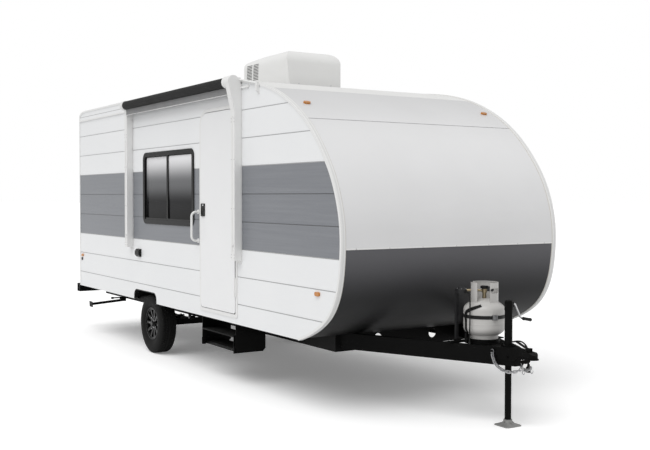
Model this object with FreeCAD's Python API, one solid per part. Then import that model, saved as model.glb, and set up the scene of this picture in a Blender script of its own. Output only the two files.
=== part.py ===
import FreeCAD
import Part

import math
import os

# Single-axle travel caravan, parked on its wheels and its tongue jack.
# Working frame: X across (door side is -X), Y back from the nose, Z up from the ground.
# Lengths are in millimetres. The finished solids are moved to stand over the middle of their plan.

# Driving dimensions of the body
BODY_WIDTH = 2134.0
BODY_LENGTH = 5980.0
BODY_HEIGHT = 2150.0
SKIN = 40.0
ROOF_THICK = 60.0
FLOOR_THICK = 60.0
NOSE_RUN = 2600.0
TAIL_RUN = 240.0
TAIL_DROP = 70.0

# Side profile of the nose, from the skirt up to the flat of the roof,
# as shares of the nose's run and of the body's height
NOSE_SHARES = (
    (0.2331, 0.0000), (0.1180, 0.0570), (0.0560, 0.1160), (0.0225, 0.1840), (0.0055, 0.2680),
    (0.0000, 0.3540), (0.0046, 0.4300), (0.0212, 0.5060), (0.0530, 0.5912), (0.1000, 0.6721),
    (0.1615, 0.7535), (0.2462, 0.8326), (0.3462, 0.8965), (0.4419, 0.9380), (0.5538, 0.9680),
    (0.7308, 0.9910), (1.0000, 1.0000),
)

# Wheels and axle, which set the height of everything above them
TYRE_RADIUS = 313.0
TYRE_WIDTH = 185.0
TYRE_INSET = 55.0
AXLE_FROM_TAIL = 2175.0
AXLE_TUBE = 60.0
BEAD_RADIUS = 170.0
RIM_WIDTH = 148.0
RIM_WALL = 7.0
RIM_FACE_THICK = 16.0
RIM_FACE_INSET = 22.0
RIM_DISH = 14.0
HUB_RADIUS = 50.0
HUB_CAP_RADIUS = 32.0
HUB_CAP_LENGTH = 26.0
HUB_CAP_SHARE = 0.8
RIM_DROP = 24.0
SPOKE_COUNT = 10
SPOKE_WINDOW_IN = 66.0
SPOKE_WINDOW_OUT = 146.0
SPOKE_WINDOW_WIDTH = 42.0
SPOKE_WINDOW_TAPER = 26.0
DRUM_RADIUS = 132.0
DRUM_LENGTH = 58.0
BACKPLATE_THICK = 6.0
DRUM_GAP = 5.0
SPINDLE_RADIUS = 18.0
SPINDLE_GAP = 0.3
ARCH_TUCK = 3.0
ARCH_CLEARANCE = 32.0
ARCH_RADIUS = 70.0
WELL_DEPTH = 250.0
WELL_CLEARANCE = 86.0
WELL_SHEET = 4.0
TYRE_FLATS = 44

# Tyre section from the tread's edge to the bead, as shares of half the width
# and of the way from the bead to the tread
TYRE_SHARES = ((0.72, 1.00), (0.93, 0.92), (1.00, 0.70), (0.99, 0.40), (0.86, 0.08), (0.72, 0.00))

# Leaf springs and hangers
SPRING_LENGTH = 640.0
SPRING_WIDTH = 45.0
SPRING_LEAF = 7.0
SPRING_LEAF_SHARES = (1.00, 0.78, 0.56, 0.34)
SPRING_RISE = 42.0
SPRING_EYE_RADIUS = 17.0
SPRING_OUTSET = 28.0
HANGER_SHEET = 6.0
HANGER_GAP = 13.0
HANGER_WIDTH = 60.0
U_BOLT_RADIUS = 6.0
SEAT_PLATE = 8.0

# Chassis
RAIL_INSET = 367.0
RAIL_DEPTH = 152.0
RAIL_WIDTH = 60.0
RAIL_WEB = 6.0
RAIL_TONGUE_LAP = 86.6
RAIL_OVERHANG = 120.0
SKIRT_LAP = 20.0
CROSS_WIDTH = 50.0
CROSS_DEPTH = 90.0
CROSS_COUNT = 6
CROSS_FIRST_Y = 1200.0
CROSS_FROM_TAIL = 100.0
PLATE_THICK = 6.0
PLATE_HOLE_RADIUS = 39.0
PLATE_HOLE_X = 284.0
PLATE_HOLE_DROP = 70.0
TONGUE_DEPTH = 127.0
TONGUE_WIDTH = 50.0
TONGUE_ANGLE = 25.0
TONGUE_TIP_Y = -690.0
OUTRIGGER_WIDTH = 45.0
OUTRIGGER_DEPTH = 120.0
OUTRIGGER_TIP = 30.0

# Heights and places that follow from the wheels, springs and rails
HALF_WIDTH = BODY_WIDTH / 2
INNER_X = HALF_WIDTH - SKIN
TYRE_FACE_X = HALF_WIDTH - TYRE_INSET
AXLE_Y = BODY_LENGTH - AXLE_FROM_TAIL
SPRING_Z = TYRE_RADIUS + AXLE_TUBE / 2 + SEAT_PLATE
SPRING_EYE_Z = SPRING_Z + SPRING_RISE
RAIL_BOTTOM_Z = SPRING_EYE_Z + SPRING_EYE_RADIUS + HANGER_GAP
FRAME_TOP_Z = RAIL_BOTTOM_Z + RAIL_DEPTH
SKIRT_Z = FRAME_TOP_Z - SKIRT_LAP
ROOF_Z = SKIRT_Z + BODY_HEIGHT
ARCH_LENGTH = 2 * (TYRE_RADIUS - ARCH_TUCK)
ARCH_TOP_Z = 2 * TYRE_RADIUS + ARCH_CLEARANCE
WELL_TOP_Z = 2 * TYRE_RADIUS + WELL_CLEARANCE
RAIL_FACE_X = HALF_WIDTH - RAIL_INSET
RAIL_REAR_Y = BODY_LENGTH + RAIL_OVERHANG
SPRING_X = RAIL_FACE_X - SPRING_OUTSET
TONGUE_SLOPE = math.tan(math.radians(TONGUE_ANGLE))
TONGUE_HALF = TONGUE_WIDTH / 2 / math.cos(math.radians(TONGUE_ANGLE))
TONGUE_REAR_Y = TONGUE_TIP_Y + (RAIL_FACE_X - RAIL_WIDTH + TONGUE_HALF) / TONGUE_SLOPE
RAIL_FRONT_Y = TONGUE_REAR_Y - RAIL_TONGUE_LAP

# Siding courses on the side walls
COURSE = 238.3
COURSE_COUNT = 8
FIRST_COURSE = 175.0
COURSE_GAP = 7.0
COURSE_GAP_DEPTH = 3.0

# Front panels and mouldings
FRONT_SPLIT_RISE = 729.0
FRONT_TOP_Y = 1080.0
FRONT_SEAM_RISE = 1707.0
SEAM_WIDTH = 4.0
TRIM_PROUD = 5.0
TRIM_WIDTH = 32.0
TRIM_FLANGE = 16.0
GUTTER_DROP = 113.0
GUTTER_HEIGHT = 18.0
GUTTER_PROUD = 12.0
GUTTER_FRONT_Y = 1420.0
BELT_HEIGHT = 12.0
BELT_PROUD = 3.0

# Entry door
DOOR_FRONT_Y = 1640.0
DOOR_WIDTH = 772.0
DOOR_RISE = 51.0
DOOR_BELOW_ROOF = 243.0
DOOR_RADIUS = 150.0
DOOR_FOOT_RADIUS = 30.0
DOOR_FRAME_WIDTH = 32.0
DOOR_FRAME_LAP = 14.0
DOOR_FRAME_PROUD = 6.0
DOOR_GAP = 6.0
DOOR_THICK = 36.0
DOOR_PROUD = 3.0
HINGE_RADIUS = 6.0
HINGE_PIN_RADIUS = 3.0
HINGE_STAND = 12.0
HINGE_FLAP = 22.0
HINGE_MARGIN = 150.0
HINGE_KNUCKLES = 9
LATCH_HEIGHT = 118.0
LATCH_WIDTH = 76.0
LATCH_PROUD = 9.0
LATCH_RISE = 934.0
LATCH_INSET = 12.0
LATCH_RECESS = 6.0
LATCH_RECESS_RADIUS = 4.5
LATCH_PADDLE_RISE = 5.0
LATCH_PADDLE_INSET = 18.0
LATCH_RECESS_SHARES = (-0.36, 0.12)
LATCH_PADDLE_SHARES = (-0.10, 0.09)

# Grab handle beside the door
GRAB_SETBACK = 34.0
GRAB_RISE = 644.0
GRAB_LENGTH = 270.0
GRAB_STAND = 72.0
GRAB_RADIUS = 11.0
GRAB_BASE_RADIUS = 21.0
GRAB_BASE_THICK = 8.0
GRAB_BEND = 45.0

# Side windows
WINDOW_SETBACK = 129.0
WINDOW_LENGTH = 1291.0
WINDOW_RISE = 823.0
WINDOW_HEIGHT = 742.0
WINDOW_RADIUS = 75.0
WINDOW_FRAME_WIDTH = 46.0
WINDOW_LAP = 22.0
WINDOW_PROUD = 9.0
MULLION_WIDTH = 34.0
GLASS_THICK = 5.0
GLASS_INSET = 7.0
PANE_GAP = 3.0
WINDOW_BAR = 18.0

# Coupler for a 50.8 mm ball, pressed in one piece with the plate that carries the jack
BALL_RADIUS = 25.4
BALL_GAP = 0.6
BALL_Y = -833.0
COUPLER_SHEET = 6.0
COUPLER_REAR_Y = -490.0
COUPLER_DROP = 60.0
COUPLER_FLANK = 95.0
COUPLER_FLANK_RUN = 30.0
COUPLER_NECK = 76.0
COUPLER_NOSE_RADIUS = 38.0
COUPLER_NOSE_HEIGHT = 50.0
COUPLER_TIP_HEIGHT = 28.0
COUPLER_LIP = 7.0
LATCH_LEVER_LENGTH = 130.0
LATCH_LEVER_WIDTH = 26.0
LATCH_LEVER_HEIGHT = 44.0
LATCH_LEVER_SHEET = 6.0
CLAMP_WIDTH = 34.0
CLAMP_LENGTH = 74.0
CLAMP_DROP = 36.0
CLAMP_TOE = 14.0
CLAMP_BOLT_RADIUS = 5.0
CLAMP_NUT_HEIGHT = 9.0

# Tongue jack
JACK_Y = -588.0
JACK_TUBE_RADIUS = 28.5
JACK_TUBE_WALL = 4.0
JACK_LEG_RADIUS = 24.0
JACK_LEG_WALL = 4.0
JACK_HEIGHT = 330.0
JACK_BELOW_RAIL = 8.0
JACK_HEAD_RADIUS = 31.0
JACK_CAP_HEIGHT = 9.0
JACK_GEAR_OUT = 6.0
JACK_GEAR_WIDTH = 34.0
JACK_HEAD_HEIGHT = 62.0
JACK_FLANGE_RADIUS = 56.0
JACK_FLANGE_THICK = 10.0
JACK_LEG_OVERLAP = 100.0
JACK_FOOT_SIZE = 152.0
JACK_FOOT_THICK = 6.0
JACK_FOOT_CONE = 46.0
JACK_FOOT_RIB = 8.0
JACK_FOOT_CLIP = 16.0
JACK_SOCKET_RADIUS = 32.0
CRANK_ROD_RADIUS = 7.0
CRANK_BEND_SHARE = 0.2
CRANK_REACH = 58.0
CRANK_DROP = 108.0
CRANK_STUB = 24.0
CRANK_END = 106.0
CRANK_DROOP = 20.0
CRANK_GRIP_RADIUS = 13.0

# Gas bottle, its tray, strap and regulator
BOTTLE_BEHIND_JACK = 263.0
BOTTLE_RADIUS = 155.0
BOTTLE_FOOT_RADIUS = 105.0
BOTTLE_FOOT_HEIGHT = 24.0
BOTTLE_FOOT_WALL = 3.0
BOTTLE_HEIGHT = 300.0
BOTTLE_DOME = 88.0
BOTTLE_KNUCKLE = 52.0
BOTTLE_COLLAR_RADIUS = 104.0
BOTTLE_COLLAR_HEIGHT = 165.0
BOTTLE_COLLAR_WALL = 3.0
COLLAR_RIM = 6.0
COLLAR_HOLE_WIDTH = 88.0
COLLAR_HOLE_HEIGHT = 38.0
COLLAR_HOLE_RADIUS = 14.0
COLLAR_HOLE_DROP = 42.0
TRAY_RADIUS = 150.0
TRAY_THICK = 8.0
TRAY_LIP = 26.0
STRAP_HEIGHT = 26.0
STRAP_THICK = 3.0
STRAP_RISE = 181.0
BUCKLE_SIZE = 38.0
BUCKLE_THICK = 9.0
BUCKLE_TURN = -12.0
VALVE_RADIUS = 15.0
VALVE_HEIGHT = 92.0
OUTLET_SHARE = 0.62
VALVE_WHEEL_RADIUS = 30.0
VALVE_WHEEL_HEIGHT = 18.0
VALVE_BODY_RADIUS = 20.0
VALVE_OUTLET_RADIUS = 9.0
VALVE_FLUTES = 6
VALVE_FLUTE_RADIUS = 5.0
REGULATOR_X = -128.0
REGULATOR_BEHIND = 109.0
REGULATOR_RADIUS = 40.0
REGULATOR_HEIGHT = 44.0
REGULATOR_SEAM_SHARE = 0.6
REGULATOR_TOP_RADIUS = 20.0
POST_SIZE = 22.0
POST_X = -112.0
POST_BEHIND = 185.0

# Air conditioner on the roof
AC_HALF_WIDTH = 310.0
AC_FRONT_Y = 2104.0
AC_LENGTH = 918.0
AC_HEIGHT = 355.0
AC_REAR_DROP = 42.0
AC_FRONT_LEAN = 26.0
AC_FRONT_RADIUS = 125.0
AC_REAR_RADIUS = 70.0
AC_TOP_RADIUS = 105.0
AC_EDGE_RADIUS = 46.0
AC_SIDE_LEAN = 10.0
LOUVRE_COLUMNS = 2
LOUVRE_ROWS = 11
LOUVRE_FROM_REAR = 332.0
LOUVRE_WIDTH = 112.0
LOUVRE_PITCH_Y = 136.0
LOUVRE_FIRST_Z = 122.0
LOUVRE_PITCH_Z = 15.0
LOUVRE_HEIGHT = 8.0
LOUVRE_DEPTH = 60.0

# Roof vent
VENT_FROM_TAIL = 1280.0
VENT_SIZE = 356.0
VENT_RIM = 45.0
VENT_RIM_WALL = 12.0
VENT_LID_THICK = 10.0
VENT_LID_LIP = 28.0
VENT_LID_GAP = 5.0
VENT_LID_RADIUS = 14.0
VENT_CROWN = 12.0
VENT_BARREL_RADIUS = 5.0

# Awning
AWNING_BEFORE_DOOR = 84.0
AWNING_LENGTH = 2648.0
ARM_WIDTH = 70.0
ARM_DEPTH = 60.0
ARM_WALL = 4.0
ARM_RISE = 560.0
ARM_BELOW_ROOF = 29.0
ARM_HOOD_RADIUS = 52.0
ARM_SLOT = 30.0
ARM_STEP = 24.0
ARM_CLIP = 23.0
ARM_HOOD_DROP = 260.0
BRACE_LENGTH = 300.0
BRACE_RADIUS = 8.0
BRACE_FOOT = 52.0
ARM_GAP = 0.3
ROLLER_RADIUS = 46.0
ROLLER_BELOW_ROOF = 63.0
ROLLER_STAND = 79.0
ROLLER_CAP_LENGTH = 66.0
ROLLER_CAP_RADIUS = 51.5
ROLLER_END = 22.0
VALANCE_DROP = 62.0
VALANCE_THICK = 4.0

# Lamps and small fittings
MARKER_LENGTH = 62.0
MARKER_HEIGHT = 32.0
MARKER_PROUD = 14.0
MARKER_INSET = 149.0
MARKER_RISE = 1845.0
SIDE_MARKER_Y = 320.0
SIDE_MARKER_RISE = 381.0
REAR_MARKER_INSET = 100.0
TAIL_LAMP_INSET = 162.0
TAIL_LAMP_RISE = 245.0
TAIL_LAMP_WIDTH = 150.0
TAIL_LAMP_HEIGHT = 90.0
TAIL_LAMP_PROUD = 26.0
TAIL_LAMP_RADIUS = 18.0
OUTLET_SETBACK = 128.0
OUTLET_RISE = 506.0
OUTLET_WIDTH = 110.0
OUTLET_HEIGHT = 82.0
OUTLET_PROUD = 34.0
OUTLET_HOOD = 22.0
PORT_FROM_TAIL = 80.0
PORT_RISE = 335.0
PORT_RADIUS = 19.0
PORT_PROUD = 8.0

# Rear bumper
BUMPER_SIZE = 100.0
BUMPER_INSET = 27.0
BUMPER_WALL = 4.0
BUMPER_CAP_INSET = 9.0
BUMPER_BELOW_FRAME = 13.0

# Folding entry step, two treads
STEP_FRONT_INSET = 82.0
STEP_REAR_INSET = 20.0
STEP_TUCK = 5.0
STEP_REACH = 272.0
STEP_DROP = 257.0
STEP_SHEET = 5.0
STEP_TREAD_DEPTH = 232.0
STEP_TREAD_THICK = 26.0
STEP_ARM = 34.0
STEP_CLEAR = 6.0
STEP_CORNER = 26.0
STEP_FOLD_RISE = 112.0
STEP_FOLD_DEPTH = 196.0
STEP_PIN_RADIUS = 5.0

# Rear stabiliser legs
STAB_FROM_TAIL = 500.0
STAB_BELOW_RAIL = 31.0
STAB_LEG_LENGTH = 398.0
STAB_LEG_WIDTH = 52.0
STAB_LEG_DEPTH = 24.0
STAB_LEG_WALL = 4.0
STAB_FOOT_WIDTH = 110.0
STAB_FOOT_LENGTH = 66.0
STAB_SHEET = 5.0
STAB_STOW_ANGLE = 4.0
STAB_PIN_RADIUS = 7.0
STAB_BRACKET = 60.0
STAB_SCREW_RADIUS = 8.0
STAB_SCREW_LENGTH = 120.0
STAB_NUT_RADIUS = 13.0
STAB_NUT_LENGTH = 26.0

# Safety chains
LINK_WIRE = 7.0
LINK_INNER_LENGTH = 30.0
LINK_INNER_WIDTH = 11.0
LINK_SLACK = 4.4
LINK_END_SIDES = 4
CHAIN_PIN_RADIUS = 4.5
CHAIN_PIN_HEAD = 10.0

# Cords
TOW_CABLE_DIAMETER = 11.0
GAS_HOSE_DIAMETER = 10.0
PLUG_RADIUS = 19.0
PLUG_LENGTH = 62.0
GLAND_WIDTH = 22.0
GLAND_DEPTH = 16.5
GLAND_REAR_RADIUS = 10.0
GLAND_FRONT_RADIUS = 6.6
UNION_RADIUS = 8.0
BEND_SHARE = 0.45

# Crank grip: places along it and its radius there, as shares of its length and radius
GRIP_SHARES = ((0.00, 0.75), (0.06, 1.00), (0.30, 0.88), (0.60, 0.88), (0.92, 1.00), (1.00, 0.70))

# Plug outline from the cable's end, as shares of its length and radius
PLUG_SHARES = ((0.00, 0.45), (0.30, 0.62), (0.36, 0.80), (0.40, 1.00), (0.94, 1.00), (1.00, 0.90))

# Gaps of the bottle's collar: middle and width in degrees, turned from straight ahead toward the far side
COLLAR_GAPS = ((-45.0, 54.0), (-141.0, 50.0))
COLLAR_HOLES = (9.0, 120.0)

# Lengths shared by every cut
OVERRUN = 20.0
FACE_GAP = 0.3

# Least radius inside a rounded frame, as a share of its outer one
LEAST_CORNER_SHARE = 0.1

# Places of the fittings, from the pieces that carry them
FRONT_SPLIT_Z = SKIRT_Z + FRONT_SPLIT_RISE
FRONT_SEAM_Z = SKIRT_Z + FRONT_SEAM_RISE
GUTTER_Z = ROOF_Z - GUTTER_DROP
DOOR_REAR_Y = DOOR_FRONT_Y + DOOR_WIDTH
DOOR_BOTTOM_Z = SKIRT_Z + DOOR_RISE
DOOR_TOP_Z = ROOF_Z - DOOR_BELOW_ROOF
LATCH_Z = DOOR_BOTTOM_Z + LATCH_RISE
GRAB_Y = DOOR_REAR_Y + GRAB_SETBACK
GRAB_BOTTOM_Z = DOOR_BOTTOM_Z + GRAB_RISE
GRAB_TOP_Z = GRAB_BOTTOM_Z + GRAB_LENGTH
WINDOW_FRONT_Y = DOOR_REAR_Y + WINDOW_SETBACK
WINDOW_REAR_Y = WINDOW_FRONT_Y + WINDOW_LENGTH
WINDOW_BOTTOM_Z = SKIRT_Z + WINDOW_RISE
WINDOW_TOP_Z = WINDOW_BOTTOM_Z + WINDOW_HEIGHT
PLATE_HOLE_Z = FRAME_TOP_Z - PLATE_HOLE_DROP
COUPLER_BOTTOM_Z = FRAME_TOP_Z - COUPLER_DROP
COUPLER_TOP_Z = FRAME_TOP_Z + FACE_GAP + COUPLER_SHEET
COUPLER_TIP_Y = BALL_Y - COUPLER_NOSE_RADIUS - COUPLER_LIP
SHOULDER_Z = COUPLER_BOTTOM_Z + COUPLER_NOSE_HEIGHT
FLANK_FOOT_Z = COUPLER_TOP_Z - COUPLER_FLANK
JACK_TOP_Z = FRAME_TOP_Z + JACK_HEIGHT
JACK_TUBE_BOTTOM_Z = FRAME_TOP_Z - TONGUE_DEPTH - JACK_BELOW_RAIL
CRANK_Z = JACK_TOP_Z - JACK_HEAD_HEIGHT / 3
BOTTLE_Y = JACK_Y + BOTTLE_BEHIND_JACK
BOTTLE_Z = FRAME_TOP_Z + TRAY_THICK
BOTTLE_TOP_Z = BOTTLE_Z + BOTTLE_FOOT_HEIGHT + BOTTLE_HEIGHT
STRAP_Z = BOTTLE_Z + STRAP_RISE
REGULATOR_Y = BOTTLE_Y + REGULATOR_BEHIND
REGULATOR_Z = BOTTLE_TOP_Z + VALVE_HEIGHT * OUTLET_SHARE - REGULATOR_HEIGHT / 2
POST_Y = BOTTLE_Y + POST_BEHIND
VENT_Y = BODY_LENGTH - VENT_FROM_TAIL
AWNING_FRONT_Y = DOOR_FRONT_Y - AWNING_BEFORE_DOOR
AWNING_REAR_Y = AWNING_FRONT_Y + AWNING_LENGTH
ARM_BOTTOM_Z = SKIRT_Z + ARM_RISE
ARM_TOP_Z = ROOF_Z - ARM_BELOW_ROOF
ROLLER_Z = ROOF_Z - ROLLER_BELOW_ROOF
ROLLER_X = HALF_WIDTH + ROLLER_STAND
MARKER_X = HALF_WIDTH - MARKER_INSET
MARKER_Z = SKIRT_Z + MARKER_RISE
SIDE_MARKER_Z = SKIRT_Z + SIDE_MARKER_RISE
REAR_MARKER_Y = BODY_LENGTH - REAR_MARKER_INSET
TAIL_LAMP_X = HALF_WIDTH - TAIL_LAMP_INSET
TAIL_LAMP_Z = SKIRT_Z + TAIL_LAMP_RISE
OUTLET_Y = WINDOW_REAR_Y + OUTLET_SETBACK
OUTLET_Z = SKIRT_Z + OUTLET_RISE
PORT_Y = BODY_LENGTH - PORT_FROM_TAIL
PORT_Z = SKIRT_Z + PORT_RISE
BUMPER_REAR_Y = RAIL_REAR_Y + BUMPER_SIZE
BUMPER_TOP_Z = FRAME_TOP_Z - BUMPER_BELOW_FRAME
STEP_FRONT_Y = DOOR_FRONT_Y + STEP_FRONT_INSET
STEP_REAR_Y = DOOR_REAR_Y - STEP_REAR_INSET
STEP_OUT_X = HALF_WIDTH - STEP_TUCK
STEP_IN_X = STEP_OUT_X - STEP_REACH
STEP_TREAD_Z = FRAME_TOP_Z - STEP_DROP
STEP_PIVOT_X = -STEP_OUT_X + STEP_ARM / 2
STEP_PIVOT_Z = STEP_TREAD_Z - STEP_TREAD_THICK / 2
STAB_Y = BODY_LENGTH - STAB_FROM_TAIL
STAB_PIVOT_X = RAIL_FACE_X
STAB_PIVOT_Z = RAIL_BOTTOM_Z - STAB_BELOW_RAIL
TYRE_CENTRE_X = TYRE_FACE_X - TYRE_WIDTH / 2
WHEEL_CENTRE = (-TYRE_CENTRE_X, AXLE_Y, TYRE_RADIUS)
RIM_FACE_X = -TYRE_CENTRE_X - RIM_WIDTH / 2 + RIM_FACE_INSET
DRUM_END_X = RIM_FACE_X + RIM_FACE_THICK + DRUM_LENGTH

# Middle of the finished plan: the awning reaches out on the door side, a stabiliser foot on the other
STOW = math.radians(STAB_STOW_ANGLE)
STAB_REACH = (STAB_PIVOT_X + (STAB_LEG_LENGTH + STAB_SHEET) * math.cos(STOW)
              + STAB_FOOT_LENGTH / 2 * math.sin(STOW))
X_MIDDLE = (STAB_REACH - ROLLER_X - max(ROLLER_CAP_RADIUS, ARM_HOOD_RADIUS)) / 2
Y_MIDDLE = (COUPLER_TIP_Y + BUMPER_REAR_Y) / 2

UP = FreeCAD.Vector(0, 0, 1)
ACROSS = FreeCAD.Vector(1, 0, 0)
BACK = FreeCAD.Vector(0, 1, 0)


def vec(x, y, z):
    return FreeCAD.Vector(x, y, z)


def block(x_span, y_span, z_span):
    """Box between three pairs of ends, given in either order."""
    low = vec(min(x_span), min(y_span), min(z_span))
    high = vec(max(x_span), max(y_span), max(z_span))
    size = high - low
    return Part.makeBox(size.x, size.y, size.z, low)


def rod(start, end, radius):
    """Round bar between two points."""
    start, end = vec(*start), vec(*end)
    return Part.makeCylinder(radius, (end - start).Length, start, end - start)


def fuse_all(shapes):
    shapes = list(shapes)
    joined = shapes[0]
    if len(shapes) > 1:
        joined = joined.multiFuse(shapes[1:])
    return joined.removeSplitter()


def group(shapes):
    """Like pieces that do not touch, kept as separate solids."""
    return Part.makeCompound(list(shapes))


def mirrored(shape):
    """The same piece on the other side of the middle plane."""
    return shape.mirror(vec(0, 0, 0), ACROSS)


def prism(outline, along, base):
    """Polygon of pairs pushed along one axis from base; each pair holds the other two axes in order."""
    name, length = along
    points = []
    for a, b in outline:
        points.append(vec(*{"x": (base, a, b), "y": (a, base, b), "z": (a, b, base)}[name]))
    push = {"x": vec(length, 0, 0), "y": vec(0, length, 0), "z": vec(0, 0, length)}[name]
    return Part.Face(Part.makePolygon(points + [points[0]])).extrude(push)


def rounded_face(y_span, z_span, top_radius, foot_radius, x):
    """Upright rectangle in a plane across X with its corners rounded."""
    y0, y1 = y_span
    z0, z1 = z_span
    corners = [(y0, z0, foot_radius), (y1, z0, foot_radius), (y1, z1, top_radius), (y0, z1, top_radius)]
    edges = []
    starts, ends = [], []
    count = len(corners)
    for i, (y, z, radius) in enumerate(corners):
        before, after = corners[i - 1], corners[(i + 1) % count]
        here = vec(x, y, z)
        to_before = vec(x, before[0], before[1]) - here
        to_after = vec(x, after[0], after[1]) - here
        to_before.normalize()
        to_after.normalize()
        first = here + to_before * radius
        last = here + to_after * radius
        centre = here + (to_before + to_after) * radius
        toward = here - centre
        toward.normalize()
        starts.append(first)
        ends.append(last)
        edges.append(Part.Arc(first, centre + toward * radius, last).toShape())
    for i in range(count):
        edges.append(Part.LineSegment(ends[i], starts[(i + 1) % count]).toShape())
    return Part.Face(Part.Wire(Part.__sortEdges__(edges)))


def rounded_block(x_span, y_span, z_span, top_radius, foot_radius):
    face = rounded_face(y_span, z_span, top_radius, foot_radius, min(x_span))
    return face.extrude(vec(max(x_span) - min(x_span), 0, 0))


def corner_arc(at, back, ahead, radius):
    """Start, middle and end of the arc that rounds the corner at one point of an outline."""
    to_back, to_ahead = back - at, ahead - at
    angle = to_back.getAngle(to_ahead)
    reach = radius / math.tan(angle / 2)
    to_back.normalize()
    to_ahead.normalize()
    inward = to_back + to_ahead
    inward.normalize()
    middle = at + inward * (radius / math.sin(angle / 2) - radius)
    return at + to_back * reach, middle, at + to_ahead * reach


def rounded_outline(corners):
    """Closed face through the corners, each given with the radius that rounds it."""
    count = len(corners)
    edges, ends = [], []
    for i, (at, radius) in enumerate(corners):
        if radius:
            start, middle, end = corner_arc(at, corners[i - 1][0], corners[(i + 1) % count][0], radius)
            edges.append(Part.Arc(start, middle, end).toShape())
        else:
            start = end = at
        ends.append((start, end))
    for i, (start, end) in enumerate(ends):
        edges.append(Part.LineSegment(end, ends[(i + 1) % count][0]).toShape())
    return Part.Face(Part.Wire(Part.__sortEdges__(edges)))


def revolved(profile, centre, axis):
    """Solid of revolution about an axis through centre; profile holds (along, radius) pairs."""
    axis = vec(*axis)
    side = BACK if abs(axis.x) > 0 else ACROSS
    centre = vec(*centre)
    points = [centre + axis * along + side * radius for along, radius in profile]
    wire = Part.makePolygon(points + [points[0]])
    return Part.Face(wire).revolve(centre, axis, 360)


def swept(points, diameter, share):
    """Round bar along straight runs joined by tangent arcs."""
    points = [vec(*p) for p in points]
    edges = []
    at = points[0]
    for i in range(1, len(points) - 1):
        here = points[i]
        back, ahead = points[i - 1] - here, points[i + 1] - here
        reach = share * min(back.Length, ahead.Length)
        turn = math.pi - back.getAngle(ahead)
        radius = reach / math.tan(turn / 2)
        back.normalize()
        ahead.normalize()
        first = here + back * reach
        last = here + ahead * reach
        inward = back + ahead
        inward.normalize()
        centre = here + inward * (radius / math.cos(turn / 2))
        middle = centre - inward * radius
        edges.append(Part.LineSegment(at, first).toShape())
        edges.append(Part.Arc(first, middle, last).toShape())
        at = last
    edges.append(Part.LineSegment(at, points[-1]).toShape())
    ring = Part.Wire(Part.makeCircle(diameter / 2, points[0], points[1] - points[0]))
    return Part.Wire(edges).makePipeShell([ring], True, False)


# Body outline

def nose_curve(inset):
    """Nose profile moved inwards by inset, as a smooth curve through its points."""
    points = [vec(0, y * NOSE_RUN, SKIRT_Z + z * BODY_HEIGHT) for y, z in NOSE_SHARES]
    curve = Part.BSplineCurve()
    curve.interpolate(points)
    if inset == 0:
        return curve
    moved = []
    for point in points:
        at = curve.parameter(point)
        along = curve.tangent(at)[0]
        inward = vec(0, along.z, -along.y)
        moved.append(point + inward * inset)
    shifted = Part.BSplineCurve()
    shifted.interpolate(moved)
    return shifted


def nose_crossing(start, end):
    """Where a line meets the nose's outer face."""
    probe = Part.LineSegment(start, end).toShape()
    return nose_curve(0).toShape().distToShape(probe)[1][0][0]


def nose_y(z):
    """Where the nose's outer face is at height z."""
    return nose_crossing(vec(0, -NOSE_RUN, z), vec(0, NOSE_RUN, z)).y


def nose_z(y):
    """Height of the roof's edge at a place on the nose."""
    return nose_crossing(vec(0, y, ROOF_Z - BODY_HEIGHT / 2), vec(0, y, ROOF_Z + OVERRUN)).z


def body_form(inset, x_span):
    """Whole body section, set in by inset all round except at the skirt."""
    nose = nose_curve(inset)
    start = nose.value(nose.FirstParameter)
    end = nose.value(nose.LastParameter)
    top_z = end.z
    rear_y = BODY_LENGTH - inset
    tail = Part.BSplineCurve()
    tail_poles = [vec(0, BODY_LENGTH - TAIL_RUN, top_z), vec(0, rear_y, top_z),
                  vec(0, rear_y, top_z - TAIL_DROP)]
    tail.buildFromPolesMultsKnots(tail_poles, [3, 3], [0, 1], False, 2)
    floor_z = SKIRT_Z if inset <= 0 else SKIRT_Z - OVERRUN
    edges = [
        nose.toShape(),
        Part.LineSegment(end, tail_poles[0]).toShape(),
        tail.toShape(),
        Part.LineSegment(tail_poles[2], vec(0, rear_y, floor_z)).toShape(),
        Part.LineSegment(vec(0, rear_y, floor_z), vec(0, start.y, floor_z)).toShape(),
    ]
    if abs(start.z - floor_z) > FACE_GAP:
        edges.append(Part.LineSegment(vec(0, start.y, floor_z), start).toShape())
    else:
        edges[4] = Part.LineSegment(vec(0, rear_y, floor_z), start).toShape()
    face = Part.Face(Part.Wire(Part.__sortEdges__(edges)))
    face.translate(vec(min(x_span), 0, 0))
    return face.extrude(vec(max(x_span) - min(x_span), 0, 0))


def course_levels():
    return [SKIRT_Z + FIRST_COURSE + i * COURSE for i in range(COURSE_COUNT)]


def window_opening(x_span):
    return rounded_block(x_span, (WINDOW_FRONT_Y + WINDOW_LAP, WINDOW_REAR_Y - WINDOW_LAP),
                         (WINDOW_BOTTOM_Z + WINDOW_LAP, WINDOW_TOP_Z - WINDOW_LAP),
                         WINDOW_RADIUS - WINDOW_LAP, WINDOW_RADIUS - WINDOW_LAP)


def door_opening(x_span):
    return rounded_block(x_span, (DOOR_FRONT_Y + DOOR_FRAME_LAP, DOOR_REAR_Y - DOOR_FRAME_LAP),
                         (DOOR_BOTTOM_Z + DOOR_FRAME_LAP, DOOR_TOP_Z - DOOR_FRAME_LAP),
                         DOOR_RADIUS - DOOR_FRAME_LAP, DOOR_FOOT_RADIUS - DOOR_FRAME_LAP)


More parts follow.
